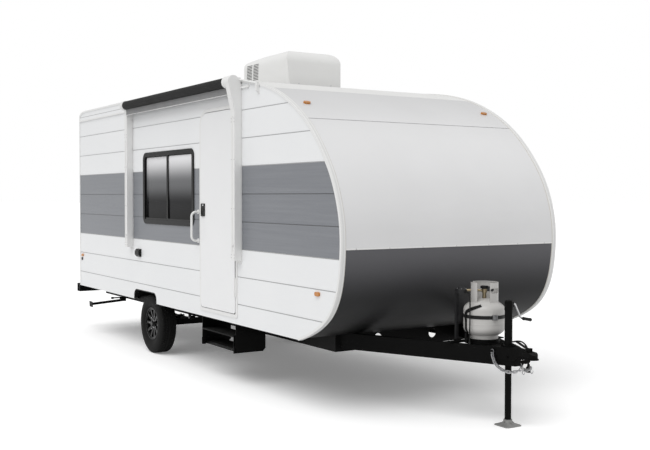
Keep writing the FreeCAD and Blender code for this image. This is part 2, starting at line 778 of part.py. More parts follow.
def side_wall(has_door):
    """Door-side wall; the other side is its mirror image without the door."""
    wall = body_form(0, (-HALF_WIDTH, -INNER_X))
    through = (-HALF_WIDTH - OVERRUN, -INNER_X + OVERRUN)
    cuts = [window_opening(through)]
    if has_door:
        cuts.append(door_opening(through))
    arch_y = (AXLE_Y - ARCH_LENGTH / 2, AXLE_Y + ARCH_LENGTH / 2)
    arch_foot = SKIRT_Z - ARCH_RADIUS - OVERRUN
    cuts.append(rounded_block(through, arch_y, (arch_foot, ARCH_TOP_Z), ARCH_RADIUS, ARCH_RADIUS / 2))
    groove_x = (-HALF_WIDTH - OVERRUN, -HALF_WIDTH + COURSE_GAP_DEPTH)
    for level in course_levels():
        cuts.append(block(groove_x, (-OVERRUN, BODY_LENGTH + OVERRUN), (level, level + COURSE_GAP)))
    return wall.cut(fuse_all(cuts))


def body_shell(thickness):
    inner = body_form(thickness, (-HALF_WIDTH, HALF_WIDTH))
    return body_form(0, (-INNER_X, INNER_X)).cut(inner)


def front_panel(z_span, y_limit):
    zone = block((-INNER_X, INNER_X), (-OVERRUN, y_limit), z_span)
    return body_shell(SKIN).common(zone)


def front_panel_upper():
    panel = front_panel((FRONT_SPLIT_Z, ROOF_Z), FRONT_TOP_Y)
    seam = body_form(SEAM_WIDTH, (-HALF_WIDTH, HALF_WIDTH))
    zone = block((-HALF_WIDTH, HALF_WIDTH), (-OVERRUN, FRONT_TOP_Y),
                 (FRONT_SEAM_Z, FRONT_SEAM_Z + SEAM_WIDTH))
    return panel.cut(zone.cut(seam))


def front_panel_lower():
    return front_panel((FRAME_TOP_Z, FRONT_SPLIT_Z), FRONT_TOP_Y)


def front_belt():
    """Thin moulding over the joint between the two front panels."""
    band = body_form(-BELT_PROUD, (-INNER_X, INNER_X)).cut(body_form(0, (-HALF_WIDTH, HALF_WIDTH)))
    middle = FRONT_SPLIT_Z
    return band.common(block((-INNER_X, INNER_X), (-NOSE_RUN, FRONT_TOP_Y),
                             (middle - BELT_HEIGHT / 2, middle + BELT_HEIGHT / 2)))


def roof():
    zone = block((-INNER_X, INNER_X), (FRONT_TOP_Y, BODY_LENGTH),
                 (ROOF_Z - BODY_HEIGHT / 2, ROOF_Z + OVERRUN))
    rear = block((-INNER_X, INNER_X), (BODY_LENGTH - SKIN, BODY_LENGTH),
                 (SKIRT_Z, ROOF_Z - ROOF_THICK - TAIL_DROP))
    panel = body_shell(ROOF_THICK).common(zone).cut(rear)
    panel = panel.cut(block((-INNER_X, INNER_X), (BODY_LENGTH - ROOF_THICK - OVERRUN, BODY_LENGTH),
                            (SKIRT_Z, ROOF_Z - ROOF_THICK - TAIL_DROP)))
    vent_x = (-VENT_SIZE / 2, VENT_SIZE / 2)
    vent_y = (VENT_Y - VENT_SIZE / 2, VENT_Y + VENT_SIZE / 2)
    return panel.cut(block(vent_x, vent_y, (ROOF_Z - ROOF_THICK - OVERRUN, ROOF_Z + OVERRUN)))


def rear_wall():
    return block((-INNER_X, INNER_X), (BODY_LENGTH - SKIN, BODY_LENGTH),
                 (FRAME_TOP_Z, ROOF_Z - ROOF_THICK - TAIL_DROP))


def well_box():
    """Outer envelope of the door-side wheel well."""
    length = ARCH_LENGTH + 2 * WELL_SHEET
    return block((-INNER_X, -INNER_X + WELL_DEPTH), (AXLE_Y - length / 2, AXLE_Y + length / 2),
                 (FRAME_TOP_Z, WELL_TOP_Z))


def wheel_wells():
    hollow = block((-INNER_X - OVERRUN, -INNER_X + WELL_DEPTH - WELL_SHEET),
                   (AXLE_Y - ARCH_LENGTH / 2, AXLE_Y + ARCH_LENGTH / 2),
                   (FRAME_TOP_Z - OVERRUN, WELL_TOP_Z - WELL_SHEET))
    well = well_box().cut(hollow)
    return group([well, mirrored(well)])


def floor():
    zone = block((-INNER_X, INNER_X), (0, BODY_LENGTH - SKIN), (FRAME_TOP_Z, FRAME_TOP_Z + FLOOR_THICK))
    slab = body_form(SKIN, (-INNER_X, INNER_X)).common(zone)
    well = well_box()
    return slab.cut(well).cut(mirrored(well))


def edge_trim():
    """Moulding that wraps the corner where the side wall meets the front, roof and rear."""
    outer_x = -HALF_WIDTH - TRIM_PROUD
    band = body_form(-TRIM_PROUD, (outer_x, -HALF_WIDTH + TRIM_WIDTH))
    band = band.cut(body_form(0, (-HALF_WIDTH, HALF_WIDTH)))
    return band.cut(body_form(TRIM_FLANGE, (outer_x - OVERRUN, -HALF_WIDTH)))


def gutter():
    return block((-HALF_WIDTH - GUTTER_PROUD, -HALF_WIDTH),
                 (GUTTER_FRONT_Y, BODY_LENGTH - TRIM_FLANGE - TRIM_PROUD),
                 (GUTTER_Z - GUTTER_HEIGHT / 2, GUTTER_Z + GUTTER_HEIGHT / 2))


def mouldings():
    """Corner trims, roof gutters and the belt across the front."""
    trim, drip = edge_trim(), gutter()
    return group([trim, mirrored(trim), drip, mirrored(drip), front_belt()])


# Entry door

def frame_ring(y_span, z_span, top_radius, foot_radius, width, x_span):
    """Upright rounded ring of one width."""
    outer = rounded_block(x_span, y_span, z_span, top_radius, foot_radius)
    inner_y = (y_span[0] + width, y_span[1] - width)
    inner_z = (z_span[0] + width, z_span[1] - width)
    inner_x = (min(x_span) - OVERRUN, max(x_span) + OVERRUN)
    least = top_radius * LEAST_CORNER_SHARE
    inner = rounded_block(inner_x, inner_y, inner_z, max(top_radius - width, least),
                          max(foot_radius - width, least))
    return outer.cut(inner)


def door_frame():
    y_span = (DOOR_FRONT_Y, DOOR_REAR_Y)
    z_span = (DOOR_BOTTOM_Z, DOOR_TOP_Z)
    flange = frame_ring(y_span, z_span, DOOR_RADIUS, DOOR_FOOT_RADIUS, DOOR_FRAME_WIDTH,
                        (-HALF_WIDTH - DOOR_FRAME_PROUD, -HALF_WIDTH))
    lap = DOOR_FRAME_LAP
    sleeve = frame_ring((y_span[0] + lap, y_span[1] - lap), (z_span[0] + lap, z_span[1] - lap),
                        DOOR_RADIUS - lap, DOOR_FOOT_RADIUS - lap, DOOR_FRAME_WIDTH - lap,
                        (-HALF_WIDTH - DOOR_FRAME_PROUD, -INNER_X))
    return fuse_all([flange, sleeve])


LEAF_Y = (DOOR_FRONT_Y + DOOR_FRAME_WIDTH + DOOR_GAP, DOOR_REAR_Y - DOOR_FRAME_WIDTH - DOOR_GAP)
LEAF_Z = (DOOR_BOTTOM_Z + DOOR_FRAME_WIDTH + DOOR_GAP, DOOR_TOP_Z - DOOR_FRAME_WIDTH - DOOR_GAP)
LEAF_OUT_X = -HALF_WIDTH - DOOR_FRAME_PROUD - DOOR_PROUD
HINGE_X = LEAF_OUT_X - HINGE_STAND + HINGE_RADIUS
HINGE_Y = DOOR_FRONT_Y + DOOR_FRAME_WIDTH + DOOR_GAP / 2


def entry_door():
    radius = DOOR_RADIUS - DOOR_FRAME_WIDTH - DOOR_GAP
    return rounded_block((LEAF_OUT_X, LEAF_OUT_X + DOOR_THICK), LEAF_Y, LEAF_Z, radius, DOOR_FOOT_RADIUS)


def hinge_levels():
    """Ends of the knuckles of the long hinge, from its foot to its head."""
    low, high = LEAF_Z[0] + HINGE_MARGIN, LEAF_Z[1] - HINGE_MARGIN
    return [low + (high - low) * i / HINGE_KNUCKLES for i in range(HINGE_KNUCKLES + 1)]


def hinge_part(z_low, z_high, toward_leaf):
    """One knuckle with its flap, on the leaf or on the frame."""
    knuckle = rod((HINGE_X, HINGE_Y, z_low), (HINGE_X, HINGE_Y, z_high), HINGE_RADIUS)
    if toward_leaf:
        flap = block((LEAF_OUT_X, LEAF_OUT_X - HINGE_PIN_RADIUS), (HINGE_Y, HINGE_Y + HINGE_FLAP),
                     (z_low, z_high))
    else:
        flap = block((-HALF_WIDTH - DOOR_FRAME_PROUD, LEAF_OUT_X - HINGE_PIN_RADIUS),
                     (HINGE_Y - HINGE_FLAP, HINGE_Y - DOOR_GAP / 2), (z_low, z_high))
        web = block((LEAF_OUT_X, LEAF_OUT_X - HINGE_PIN_RADIUS), (HINGE_Y - HINGE_FLAP, HINGE_Y),
                    (z_low, z_high))
        flap = fuse_all([flap, web])
    return fuse_all([knuckle, flap])


def door_hinges():
    """Long hinge: every second knuckle on the leaf, the others and the pin on the frame."""
    levels = hinge_levels()
    leaf_side, frame_side = [], []
    pin_ends = ((HINGE_X, HINGE_Y, levels[0]), (HINGE_X, HINGE_Y, levels[-1]))
    hole = rod(*pin_ends, HINGE_PIN_RADIUS + FACE_GAP)
    for i in range(HINGE_KNUCKLES):
        low, high = levels[i], levels[i + 1]
        if i % 2:
            leaf_side.append(hinge_part(low + FACE_GAP, high - FACE_GAP, True).cut(hole))
        else:
            frame_side.append(hinge_part(low, high, False))
    frame_side.append(rod(*pin_ends, HINGE_PIN_RADIUS))
    return leaf_side, frame_side


def door_latch():
    """Moulded pull plate with a sunken paddle."""
    y1 = LEAF_Y[1] - LATCH_INSET
    y0 = y1 - LATCH_WIDTH
    z_span = (LATCH_Z - LATCH_HEIGHT / 2, LATCH_Z + LATCH_HEIGHT / 2)
    plate = rounded_block((LEAF_OUT_X - LATCH_PROUD, LEAF_OUT_X), (y0, y1), z_span,
                          LATCH_PROUD, LATCH_PROUD)
    low, high = (LATCH_Z + LATCH_HEIGHT * share for share in LATCH_RECESS_SHARES)
    floor_x = LEAF_OUT_X - LATCH_PROUD + LATCH_RECESS
    recess = rounded_block((LEAF_OUT_X - LATCH_PROUD - OVERRUN, floor_x),
                           (y0 + LATCH_INSET, y1 - LATCH_INSET), (low, high),
                           LATCH_RECESS_RADIUS, LATCH_RECESS_RADIUS)
    low, high = (LATCH_Z + LATCH_HEIGHT * share for share in LATCH_PADDLE_SHARES)
    paddle = block((floor_x - LATCH_PADDLE_RISE, floor_x),
                   (y0 + LATCH_PADDLE_INSET, y1 - LATCH_PADDLE_INSET), (low, high))
    return fuse_all([plate.cut(recess), paddle])


def grab_handle():
    """Bent rail that stands off the wall on two round bases."""
    x_wall = -HALF_WIDTH - GRAB_BASE_THICK
    x_out = -HALF_WIDTH - GRAB_STAND
    bend = GRAB_BEND
    low, high = GRAB_BOTTOM_Z, GRAB_TOP_Z
    cos45 = math.cos(math.radians(45))
    points = [vec(x_wall, GRAB_Y, low), vec(x_out + bend, GRAB_Y, low), vec(x_out, GRAB_Y, low + bend),
              vec(x_out, GRAB_Y, high - bend), vec(x_out + bend, GRAB_Y, high), vec(x_wall, GRAB_Y, high)]
    low_mid = vec(x_out + bend - bend * cos45, GRAB_Y, low + bend - bend * cos45)
    high_mid = vec(x_out + bend - bend * cos45, GRAB_Y, high - bend + bend * cos45)
    path = Part.Wire([
        Part.LineSegment(points[0], points[1]).toShape(),
        Part.Arc(points[1], low_mid, points[2]).toShape(),
        Part.LineSegment(points[2], points[3]).toShape(),
        Part.Arc(points[3], high_mid, points[4]).toShape(),
        Part.LineSegment(points[4], points[5]).toShape(),
    ])
    ring = Part.Wire(Part.makeCircle(GRAB_RADIUS, points[0], ACROSS))
    rail = path.makePipeShell([ring], True, False)
    bases = [rod((-HALF_WIDTH, GRAB_Y, z), (x_wall, GRAB_Y, z), GRAB_BASE_RADIUS) for z in (low, high)]
    return fuse_all([rail] + bases)


# Side windows

def window_frame():
    """Flange, sleeve through the wall, middle post and the thicker bar along the foot."""
    y_span = (WINDOW_FRONT_Y, WINDOW_REAR_Y)
    z_span = (WINDOW_BOTTOM_Z, WINDOW_TOP_Z)
    radius = WINDOW_RADIUS
    flange = frame_ring(y_span, z_span, radius, radius, WINDOW_FRAME_WIDTH,
                        (-HALF_WIDTH - WINDOW_PROUD, -HALF_WIDTH))
    lap = WINDOW_LAP
    sleeve = frame_ring((y_span[0] + lap, y_span[1] - lap), (z_span[0] + lap, z_span[1] - lap),
                        radius - lap, radius - lap, WINDOW_FRAME_WIDTH - lap,
                        (-HALF_WIDTH - WINDOW_PROUD, -INNER_X))
    middle = (WINDOW_FRONT_Y + WINDOW_REAR_Y) / 2
    mullion = block((-HALF_WIDTH - WINDOW_PROUD / 2,
                     -HALF_WIDTH + GLASS_INSET + 2 * (GLASS_THICK + PANE_GAP)),
                    (middle - MULLION_WIDTH / 2, middle + MULLION_WIDTH / 2),
                    (WINDOW_BOTTOM_Z + lap, WINDOW_TOP_Z - lap))
    bar = block((-HALF_WIDTH - WINDOW_PROUD / 2, -HALF_WIDTH + GLASS_INSET + 2 * (GLASS_THICK + PANE_GAP)),
                (WINDOW_FRONT_Y + radius, WINDOW_REAR_Y - radius),
                (WINDOW_BOTTOM_Z + lap, WINDOW_BOTTOM_Z + WINDOW_FRAME_WIDTH + WINDOW_BAR))
    return fuse_all([flange, sleeve, mullion, bar])


def window_panes():
    """Fixed pane in front, sliding pane behind it in its own groove."""
    width = WINDOW_FRAME_WIDTH
    middle = (WINDOW_FRONT_Y + WINDOW_REAR_Y) / 2
    radius = WINDOW_RADIUS - width
    foot = WINDOW_BOTTOM_Z + width
    ends = ((WINDOW_FRONT_Y + width, middle - MULLION_WIDTH / 2),
            (middle + MULLION_WIDTH / 2, WINDOW_REAR_Y - width))
    whole_y = (WINDOW_FRONT_Y + width, WINDOW_REAR_Y - width)
    panes = []
    for i, (y0, y1) in enumerate(ends):
        x0 = -HALF_WIDTH + GLASS_INSET + i * (GLASS_THICK + PANE_GAP)
        sheet = rounded_block((x0, x0 + GLASS_THICK), whole_y, (foot, WINDOW_TOP_Z - width), radius, radius)
        keep = block((x0 - OVERRUN, x0 + OVERRUN), (y0, y1), (foot, WINDOW_TOP_Z))
        bar = block((x0 - OVERRUN, x0 + OVERRUN),
                    (WINDOW_FRONT_Y + WINDOW_RADIUS, WINDOW_REAR_Y - WINDOW_RADIUS),
                    (WINDOW_BOTTOM_Z, foot + WINDOW_BAR))
        panes.append(sheet.common(keep).cut(bar))
    return panes


# Chassis

def channel(length, depth, width, sheet):
    """Channel section along +Y from the origin, back at x=0, legs toward +X, top at z=0."""
    outline = [(0, 0), (width, 0), (width, -sheet), (sheet, -sheet), (sheet, sheet - depth),
               (width, sheet - depth), (width, -depth), (0, -depth)]
    points = [vec(x, 0, z) for x, z in outline]
    return Part.Face(Part.makePolygon(points + [points[0]])).extrude(vec(0, length, 0))


def main_rail():
    """Door-side rail, a channel with its back outwards."""
    rail = channel(RAIL_REAR_Y - RAIL_FRONT_Y, RAIL_DEPTH, RAIL_WIDTH, RAIL_WEB)
    rail.translate(vec(-RAIL_FACE_X, RAIL_FRONT_Y, FRAME_TOP_Z))
    return rail


def cross_places():
    last = BODY_LENGTH - CROSS_FROM_TAIL
    return [CROSS_FIRST_Y + (last - CROSS_FIRST_Y) * i / (CROSS_COUNT - 1) for i in range(CROSS_COUNT)]


def cross_members():
    """Angle irons between the rails, spread from the tongue's end to the tail."""
    bars = []
    reach = RAIL_FACE_X - RAIL_WEB
    for y in cross_places():
        zone = (FRAME_TOP_Z - RAIL_WEB - CROSS_DEPTH, FRAME_TOP_Z - RAIL_WEB)
        web = block((-reach, reach), (y, y + RAIL_WEB), zone)
        leg = block((-reach, reach), (y, y + CROSS_WIDTH), (zone[1] - RAIL_WEB, zone[1]))
        bars.append(fuse_all([web, leg]))
    return bars


def outriggers():
    """Short tapered arms that carry the walls outside the rails."""
    arms = []
    for y in cross_places():
        inside_well = abs(y - AXLE_Y) < ARCH_LENGTH
        inside_step = STEP_FRONT_Y - OUTRIGGER_WIDTH * 2 < y < STEP_REAR_Y + OUTRIGGER_WIDTH
        if inside_well or inside_step:
            continue
        outline = [(-RAIL_FACE_X, FRAME_TOP_Z), (-INNER_X, FRAME_TOP_Z),
                   (-INNER_X, FRAME_TOP_Z - OUTRIGGER_TIP), (-RAIL_FACE_X, FRAME_TOP_Z - OUTRIGGER_DEPTH)]
        arm = prism(outline, ("y", RAIL_WEB), y)
        arms += [arm, mirrored(arm)]
    return arms


def tongue_x(y):
    """Centre line of the door-side tongue rail, measured from the middle."""
    return (y - TONGUE_TIP_Y) * TONGUE_SLOPE


def flank_x(y, clear):
    """Outer face of the door-side tongue rail with a clearance, measured from the middle."""
    return tongue_x(y) + TONGUE_HALF + clear / math.cos(math.radians(TONGUE_ANGLE))


def tongue_rail():
    """Door-side leg of the A-frame, a closed box section cut off at the middle plane."""
    half = TONGUE_HALF
    rear = tongue_x(TONGUE_REAR_Y)
    outline = [(half, TONGUE_TIP_Y), (-half, TONGUE_TIP_Y), (-rear - half, TONGUE_REAR_Y),
               (-rear + half, TONGUE_REAR_Y)]
    leg = prism(outline, ("z", -TONGUE_DEPTH), FRAME_TOP_Z)
    leg = leg.cut(block((0, TONGUE_WIDTH * 2), (TONGUE_TIP_Y - OVERRUN, TONGUE_REAR_Y),
                        (FRAME_TOP_Z + OVERRUN, FRAME_TOP_Z - TONGUE_DEPTH - OVERRUN)))
    beside_rail = block((-BODY_WIDTH, -RAIL_FACE_X + RAIL_WIDTH),
                        (RAIL_FRONT_Y - FACE_GAP, TONGUE_REAR_Y + OVERRUN),
                        (FRAME_TOP_Z + OVERRUN, FRAME_TOP_Z - RAIL_DEPTH - OVERRUN))
    jack = rod((0, JACK_Y, FRAME_TOP_Z + OVERRUN), (0, JACK_Y, FRAME_TOP_Z - TONGUE_DEPTH - OVERRUN),
               JACK_TUBE_RADIUS + FACE_GAP)
    plate = block((-RAIL_FACE_X, RAIL_FACE_X), (RAIL_FRONT_Y - PLATE_THICK, RAIL_FRONT_Y),
                  (RAIL_BOTTOM_Z - OVERRUN, FRAME_TOP_Z + OVERRUN))
    return leg.cut(beside_rail).cut(jack).cut(plate)


def front_cross_plate():
    plate = block((-RAIL_FACE_X, RAIL_FACE_X), (RAIL_FRONT_Y - PLATE_THICK, RAIL_FRONT_Y),
                  (RAIL_BOTTOM_Z, FRAME_TOP_Z))
    for side in (-1, 1):
        start = (side * PLATE_HOLE_X, RAIL_FRONT_Y - PLATE_THICK - OVERRUN, PLATE_HOLE_Z)
        end = (side * PLATE_HOLE_X, RAIL_FRONT_Y + OVERRUN, PLATE_HOLE_Z)
        plate = plate.cut(rod(start, end, PLATE_HOLE_RADIUS))
    return plate


# Coupler with the pins of the safety chains

def coupler_form():
    """Outer form of the coupler: plan and side outline where the two meet, with the lip along its foot."""
    neck = COUPLER_NECK / 2
    wrap = COUPLER_SHEET + FACE_GAP
    neck_y = TONGUE_TIP_Y + (neck - flank_x(TONGUE_TIP_Y, wrap)) / TONGUE_SLOPE
    rear = flank_x(COUPLER_REAR_Y, wrap)
    outline = [(-rear, COUPLER_REAR_Y), (-neck, neck_y), (-neck, BALL_Y), (neck, BALL_Y), (neck, neck_y),
               (rear, COUPLER_REAR_Y)]
    plan = fuse_all([prism(outline, ("z", COUPLER_FLANK), FLANK_FOOT_Z),
                     rod((0, BALL_Y, FLANK_FOOT_Z), (0, BALL_Y, COUPLER_TOP_Z), COUPLER_NOSE_RADIUS)])
    side = [(COUPLER_REAR_Y, FLANK_FOOT_Z), (COUPLER_REAR_Y, COUPLER_TOP_Z),
            (JACK_Y - JACK_FLANGE_RADIUS, COUPLER_TOP_Z), (BALL_Y, SHOULDER_Z),
            (COUPLER_TIP_Y, COUPLER_BOTTOM_Z + COUPLER_TIP_HEIGHT), (COUPLER_TIP_Y, COUPLER_BOTTOM_Z),
            (neck_y - COUPLER_FLANK_RUN, COUPLER_BOTTOM_Z), (neck_y, FLANK_FOOT_Z)]
    form = plan.common(prism(side, ("x", BODY_WIDTH), -HALF_WIDTH))
    lip_top = COUPLER_BOTTOM_Z + COUPLER_SHEET
    half = neck + COUPLER_LIP
    lip = [rod((0, BALL_Y, COUPLER_BOTTOM_Z), (0, BALL_Y, lip_top), COUPLER_NOSE_RADIUS + COUPLER_LIP),
           block((-half, half), (BALL_Y, neck_y - COUPLER_FLANK_RUN), (COUPLER_BOTTOM_Z, lip_top))]
    return fuse_all([form] + lip)


def coupler_hollow():
    """What the pressing leaves free: the rails' pocket, the throat, the ball's socket and the jack's hole."""
    inside_rear = flank_x(COUPLER_REAR_Y + OVERRUN, FACE_GAP)
    inside_tip = flank_x(TONGUE_TIP_Y, FACE_GAP)
    foot = FLANK_FOOT_Z - OVERRUN
    inside = [(-inside_rear, COUPLER_REAR_Y + OVERRUN), (-inside_tip, TONGUE_TIP_Y),
              (inside_tip, TONGUE_TIP_Y),
              (inside_rear, COUPLER_REAR_Y + OVERRUN)]
    rails = prism(inside, ("z", FRAME_TOP_Z + FACE_GAP - foot), foot)
    half = COUPLER_NECK / 2 - COUPLER_SHEET
    throat = block((-half, half), (BALL_Y + COUPLER_NOSE_RADIUS, TONGUE_TIP_Y + FACE_GAP),
                   (foot, SHOULDER_Z - 2 * COUPLER_SHEET))
    jack = rod((0, JACK_Y, FRAME_TOP_Z - OVERRUN), (0, JACK_Y, COUPLER_TOP_Z + OVERRUN),
               JACK_TUBE_RADIUS + FACE_GAP)
    return [rails, throat, ball_socket(foot), jack]


def ball_socket(foot):
    """Round recess with a domed top, open below."""
    radius = BALL_RADIUS + BALL_GAP
    centre_z = COUPLER_BOTTOM_Z + BALL_RADIUS / 2
    slant = radius * math.cos(math.radians(45))
    top, side = vec(0, BALL_Y, centre_z + radius), vec(radius, BALL_Y, centre_z)
    edges = [Part.Arc(top, vec(slant, BALL_Y, centre_z + slant), side).toShape(),
             Part.LineSegment(side, vec(radius, BALL_Y, foot)).toShape(),
             Part.LineSegment(vec(radius, BALL_Y, foot), vec(0, BALL_Y, foot)).toShape(),
             Part.LineSegment(vec(0, BALL_Y, foot), top).toShape()]
    return Part.Face(Part.Wire(edges)).revolve(vec(0, BALL_Y, 0), UP, 360)


def coupler():
    """Pressed head: flanks that wrap the tongue rails, a neck, and a sloping nose over the ball."""
    head = coupler_form()
    for hollow in coupler_hollow():
        head = head.cut(hollow)
    return fuse_all([head, ball_clamp(), coupler_latch()] + chain_pins())


def ball_clamp():
    """Jaw behind the ball, on a bolt that comes down through the neck, with its nut below."""
    y0 = BALL_Y + COUPLER_NOSE_RADIUS
    top = SHOULDER_Z - COUPLER_SHEET
    foot = COUPLER_BOTTOM_Z - CLAMP_DROP
    toe = CLAMP_TOE
    jaw = [(y0, top), (y0, foot + toe), (y0 + toe, foot), (y0 + CLAMP_LENGTH, foot),
           (y0 + CLAMP_LENGTH, foot + toe),
           (y0 + 2 * toe, foot + 2 * toe), (y0 + 2 * toe, top)]
    bolt_y = y0 + CLAMP_LENGTH - CLAMP_BOLT_RADIUS * 3
    bolt = rod((0, bolt_y, top), (0, bolt_y, foot - CLAMP_NUT_HEIGHT * 2), CLAMP_BOLT_RADIUS)
    nut = rod((0, bolt_y, foot), (0, bolt_y, foot - CLAMP_NUT_HEIGHT), CLAMP_BOLT_RADIUS * 2)
    return fuse_all([prism(jaw, ("x", CLAMP_WIDTH), -CLAMP_WIDTH / 2), bolt, nut])


def coupler_latch():
    """Hand lever over the neck: a bent strip between two ears."""
    half = LATCH_LEVER_WIDTH / 2
    sheet = LATCH_LEVER_SHEET
    y0 = BALL_Y + BALL_RADIUS
    y1 = y0 + LATCH_LEVER_LENGTH
    low = SHOULDER_Z - COUPLER_SHEET
    high = COUPLER_TOP_Z + LATCH_LEVER_HEIGHT
    knee_y, knee_z = y0 + LATCH_LEVER_LENGTH / 4, COUPLER_TOP_Z + LATCH_LEVER_HEIGHT / 4
    strip = [(y0, low), (y0 + sheet, low), (knee_y, knee_z - sheet), (y1, high - sheet), (y1, high),
             (knee_y, knee_z), (y0, knee_z)]
    ears = [block((side * half, side * (half + sheet)), (y0 - sheet, y0 + 3 * sheet), (low, knee_z))
            for side in (-1, 1)]
    return fuse_all([prism(strip, ("x", 2 * half), -half)] + ears)


def chain_pins():
    """Headed pin on each flank that carries the end of a safety chain."""
    pin_x, pin_y, pin_z = CHAIN_ROUTE[0]
    z = pin_z - CHAIN_PIN_RADIUS
    start = (-flank_x(pin_y, FACE_GAP + COUPLER_SHEET / 2), pin_y, z)
    end = (pin_x - LINK_WIRE / 2 - FACE_GAP, pin_y, z)
    head = (end[0] - LINK_WIRE / 2, pin_y, z)
    pin = fuse_all([rod(start, end, CHAIN_PIN_RADIUS), rod(end, head, CHAIN_PIN_HEAD)])
    return [pin, mirrored(pin)]


# Tongue jack

def jack_tube():
    """Outer tube with its flange, gear head, domed cap and the side box for the crank's gear."""
    z0, z1 = JACK_TUBE_BOTTOM_Z, JACK_TOP_Z
    outer = rod((0, JACK_Y, z0), (0, JACK_Y, z1), JACK_TUBE_RADIUS)
    bore = rod((0, JACK_Y, z0 - OVERRUN), (0, JACK_Y, z1 - JACK_HEAD_HEIGHT),
               JACK_TUBE_RADIUS - JACK_TUBE_WALL)
    flange = rod((0, JACK_Y, COUPLER_TOP_Z), (0, JACK_Y, COUPLER_TOP_Z + JACK_FLANGE_THICK),
                 JACK_FLANGE_RADIUS)
    head = rod((0, JACK_Y, z1 - JACK_HEAD_HEIGHT), (0, JACK_Y, z1), JACK_HEAD_RADIUS)
    cap = Part.makeCone(JACK_HEAD_RADIUS, JACK_HEAD_RADIUS - JACK_CAP_HEIGHT, JACK_CAP_HEIGHT,
                        vec(0, JACK_Y, z1))
    gear = block((0, JACK_HEAD_RADIUS + JACK_GEAR_OUT),
                 (JACK_Y - JACK_GEAR_WIDTH / 2, JACK_Y + JACK_GEAR_WIDTH / 2),
                 (CRANK_Z - JACK_GEAR_WIDTH / 2, CRANK_Z + JACK_GEAR_WIDTH / 2))
    return fuse_all([outer, flange, head, cap, gear]).cut(bore)


def crank_points():
    """Bends of the crank, from the gear box out to the end of the grip."""
    x0 = JACK_HEAD_RADIUS + JACK_GEAR_OUT
    x1 = x0 + CRANK_STUB
    x2 = x1 + CRANK_REACH
    low = CRANK_Z - CRANK_DROP
    return [(x0, JACK_Y, CRANK_Z), (x1, JACK_Y, CRANK_Z), (x2, JACK_Y, low),
            (x2 + CRANK_END, JACK_Y, low - CRANK_DROOP)]


def jack_crank():
    """Bent rod from the gear box into the grip."""
    return swept(crank_points(), CRANK_ROD_RADIUS * 2, CRANK_BEND_SHARE)


def jack_grip():
    """Waisted hand grip round the end of the rod."""
    elbow, end = (vec(*point) for point in crank_points()[2:])
    start = elbow + (end - elbow) * CRANK_BEND_SHARE
    run = (end - start).Length
    axis = (end - start) / run
    profile = [(along * run, radius * CRANK_GRIP_RADIUS) for along, radius in GRIP_SHARES]
    grip = revolved([(0, 0)] + profile + [(run, 0)], tuple(start), tuple(axis))
    return grip.cut(rod(tuple(elbow), tuple(end), CRANK_ROD_RADIUS))


def jack_leg():
    z1 = JACK_TUBE_BOTTOM_Z + JACK_LEG_OVERLAP
    outer = rod((0, JACK_Y, JACK_FOOT_THICK), (0, JACK_Y, z1), JACK_LEG_RADIUS)
    inner = rod((0, JACK_Y, JACK_FOOT_CONE), (0, JACK_Y, z1 + OVERRUN), JACK_LEG_RADIUS - JACK_LEG_WALL)
    return outer.cut(inner)


def jack_foot():
    """Cast foot: square plate with clipped corners, a tapered rise, a round socket and four ribs."""
    half = JACK_FOOT_SIZE / 2
    clip = half - JACK_FOOT_CLIP
    corners = [(-half, -clip), (-clip, -half), (clip, -half), (half, -clip), (half, clip), (clip, half),
               (-clip, half), (-half, clip)]
    plate = prism([(x, JACK_Y + y) for x, y in corners], ("z", JACK_FOOT_THICK), 0)
    top_half = JACK_SOCKET_RADIUS
    share = top_half / half
    low = [vec(x, JACK_Y + y, JACK_FOOT_THICK) for x, y in corners]
    high = [vec(x * share, JACK_Y + y * share, JACK_FOOT_CONE / 2) for x, y in corners]
    rise = Part.makeLoft([Part.makePolygon(low + [low[0]]), Part.makePolygon(high + [high[0]])], True, True)
    socket = rod((0, JACK_Y, JACK_FOOT_CONE / 2 - JACK_FOOT_THICK), (0, JACK_Y, JACK_FOOT_CONE),
                 JACK_SOCKET_RADIUS)
    ribs = []
    for turn in range(4):
        rib = prism([(0, JACK_FOOT_THICK), (half - JACK_FOOT_RIB, JACK_FOOT_THICK),
                     (top_half, JACK_FOOT_CONE - JACK_FOOT_RIB),
                     (0, JACK_FOOT_CONE - JACK_FOOT_RIB)], ("y", JACK_FOOT_RIB), JACK_Y - JACK_FOOT_RIB / 2)
        rib.rotate(vec(0, JACK_Y, 0), UP, 90 * turn)
        ribs.append(rib)
    foot = fuse_all([plate, rise, socket] + ribs)
    return foot.cut(rod((0, JACK_Y, JACK_FOOT_THICK), (0, JACK_Y, JACK_FOOT_CONE + OVERRUN), JACK_LEG_RADIUS))


# Gas bottle

